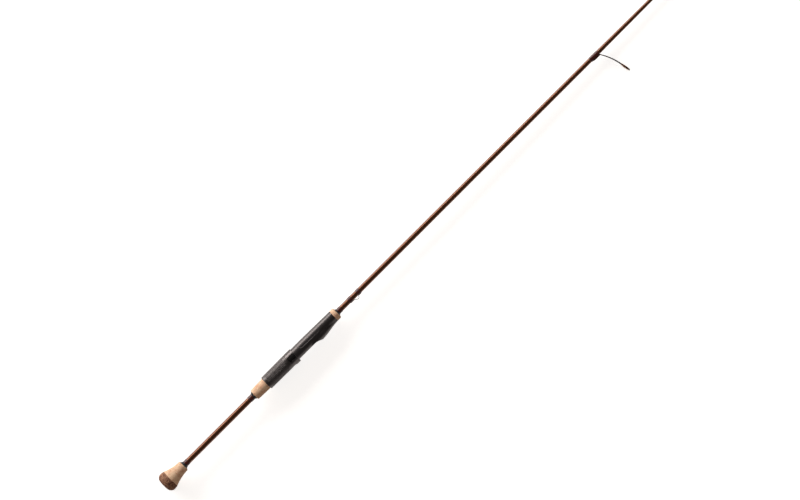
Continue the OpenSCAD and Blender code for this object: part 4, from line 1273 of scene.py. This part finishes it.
def seen_directly(tree):
    """1 for camera, mirror and glass rays, and 0 for the rays that carry light between surfaces."""
    path = add(tree, "ShaderNodeLightPath")
    either = add(tree, MATH, (path.outputs["Is Camera Ray"], path.outputs["Is Glossy Ray"]), "MAXIMUM")
    return add(tree, MATH, (either, path.outputs["Is Transmission Ray"]), "MAXIMUM")


def studio_paper(settings):
    """Matt pale paper: plain white where nothing shades it, so that only soft shadows show on it."""
    made, tree, shader, place = new_material("matt_studio_paper")
    fibres = add(tree, NOISE, {"Vector": place, "Scale": scale_of(4 * MM), "Detail": 3.0})
    near = tuple(c * 0.99 for c in settings.floor)
    tone = set_stops(add(tree, RAMP, {"Fac": fibres}), [(0.3, near), (0.7, settings.floor)])
    glow = add(tree, MATH, (seen_directly(tree), 0.75), "MULTIPLY")
    wire_up(tree, shader, {"Base Color": tone, "Roughness": 0.95, "Specular IOR Level": 0.0,
                           "Emission Color": (1, 1, 1, 1), "Emission Strength": glow})
    return made


def lay_floor(settings):
    """A wide floor under the butt cap and the side of the first guide, on which the rod lies."""
    cap_low, cap_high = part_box("butt_cap")
    rest = Vector(((cap_low.x + cap_high.x) / 2, 0, cap_low.z))
    far = Vector((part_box("guide_1_ring")[0].x, 0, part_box("guide_1_frame")[0].z))
    slope = math.atan2(far.z - rest.z, far.x - rest.x)
    half, gap = 15.0, 0.02 * MM
    verts = [(x, y, rest.z - gap + math.tan(slope) * (x - rest.x)) for x in (-half, half)
             for y in (-half, half)]
    floor = mesh_object("studio_floor", verts, [(0, 2, 3, 1)])
    floor.data.materials.append(studio_paper(settings))


def light_room(settings):
    """Even light from all round, seen as plain white, and in reflections as a horizon under a dim ceiling."""
    world = bpy.data.worlds.new("even_room")
    bpy.context.scene.world = world
    world.use_nodes = True
    tree = world.node_tree
    tree.nodes.clear()
    way = add(tree, "ShaderNodeSeparateXYZ", (add(tree, "ShaderNodeTexCoord").outputs["Generated"],))
    ceiling = add(tree, MAP_RANGE, {"Value": way.outputs["Z"], "From Min": 0.02, "From Max": 0.4,
                                    "To Min": 1.0, "To Max": settings.ceiling},
                  interpolation_type="SMOOTHSTEP")
    shiny = add(tree, "ShaderNodeLightPath").outputs["Is Glossy Ray"]
    direct = seen_directly(tree)
    tint = add(tree, MIX, {0: direct, 6: (*settings.warmth, 1), 7: (1, 1, 1, 1)}, data_type="RGBA")
    plain = add(tree, MIX, {0: direct, 2: settings.room, 3: 1.0})
    strength = add(tree, MIX, {0: shiny, 2: plain, 3: ceiling})
    light = add(tree, "ShaderNodeBackground", {"Color": tint, "Strength": strength})
    add(tree, "ShaderNodeOutputWorld", {"Surface": light})


def hang_softbox(settings):
    """One long soft light above the rod and behind it, which the camera doesn't see itself."""
    lamp = bpy.data.lights.new("long_softbox", "AREA")
    lamp.shape = "RECTANGLE"
    lamp.size, lamp.size_y = 3.6, 1.1
    lamp.energy = settings.key
    key = new_object("long_softbox", lamp)
    middle = Vector((0.45, 0, 0))
    key.location = middle + Vector((0, 2.3, 0.66))
    key.rotation_euler = (middle - key.location).to_track_quat("-Z", "Y").to_euler()
    key.visible_camera = False


def aim_camera(settings):
    """A camera straight above the rod, which rises across the view from the lower left."""
    lens = bpy.data.cameras.new("rod_camera")
    lens.lens = settings.lens
    lens.clip_end = 50
    camera = new_object("rod_camera", lens)
    middle = (0.4502, -0.00015)
    camera.location = (*middle, settings.width * settings.lens / lens.sensor_width)
    camera.rotation_euler = (0, 0, -settings.roll)
    bpy.context.scene.camera = camera


class ROD_OT_stage(bpy.types.Operator):
    """Lay the floor, hang the lights and aim the camera"""
    bl_idname = "rod.stage"
    bl_label = "Stage"

    def execute(self, context):
        settings = dressing(context).stage
        lay_floor(settings)
        light_room(settings)
        hang_softbox(settings)
        aim_camera(settings)
        context.scene.view_settings.view_transform = "Standard"
        return {"FINISHED"}


class ROD_PT_dressing(bpy.types.Panel):
    """Buttons that make the rod's pieces"""
    bl_idname = "ROD_PT_dressing"
    bl_label = "Rod Dressing"
    bl_space_type = "VIEW_3D"
    bl_region_type = "UI"
    bl_category = "Rod"

    def draw(self, context):
        for operator in OPERATORS:
            self.layout.operator(operator.bl_idname)


OPERATORS = (ROD_OT_blank, ROD_OT_corks, ROD_OT_checks, ROD_OT_wraps, ROD_OT_seat, ROD_OT_hood, ROD_OT_nut,
             ROD_OT_keeper, ROD_OT_guides, ROD_OT_tip, ROD_OT_stage)
CLASSES = (RodCorkSettings, RodBlankSettings, RodThreadSettings, RodSeatSettings, RodMetalSettings,
           RodStageSettings, RodSettings, *OPERATORS, ROD_PT_dressing)


def register():
    for made in CLASSES:
        bpy.utils.register_class(made)
    bpy.types.Scene.rod_dressing = PointerProperty(type=RodSettings)


def unregister():
    del bpy.types.Scene.rod_dressing
    for made in reversed(CLASSES):
        bpy.utils.unregister_class(made)


def main():
    register()
    bpy.ops.rod.blank()
    bpy.ops.rod.corks()
    bpy.ops.rod.checks()
    bpy.ops.rod.wraps()
    bpy.ops.rod.seat()
    bpy.ops.rod.hood()
    bpy.ops.rod.nut()
    bpy.ops.rod.keeper()
    bpy.ops.rod.guides()
    bpy.ops.rod.tip()
    bpy.ops.rod.stage()


if __name__ == "__main__":
    main()
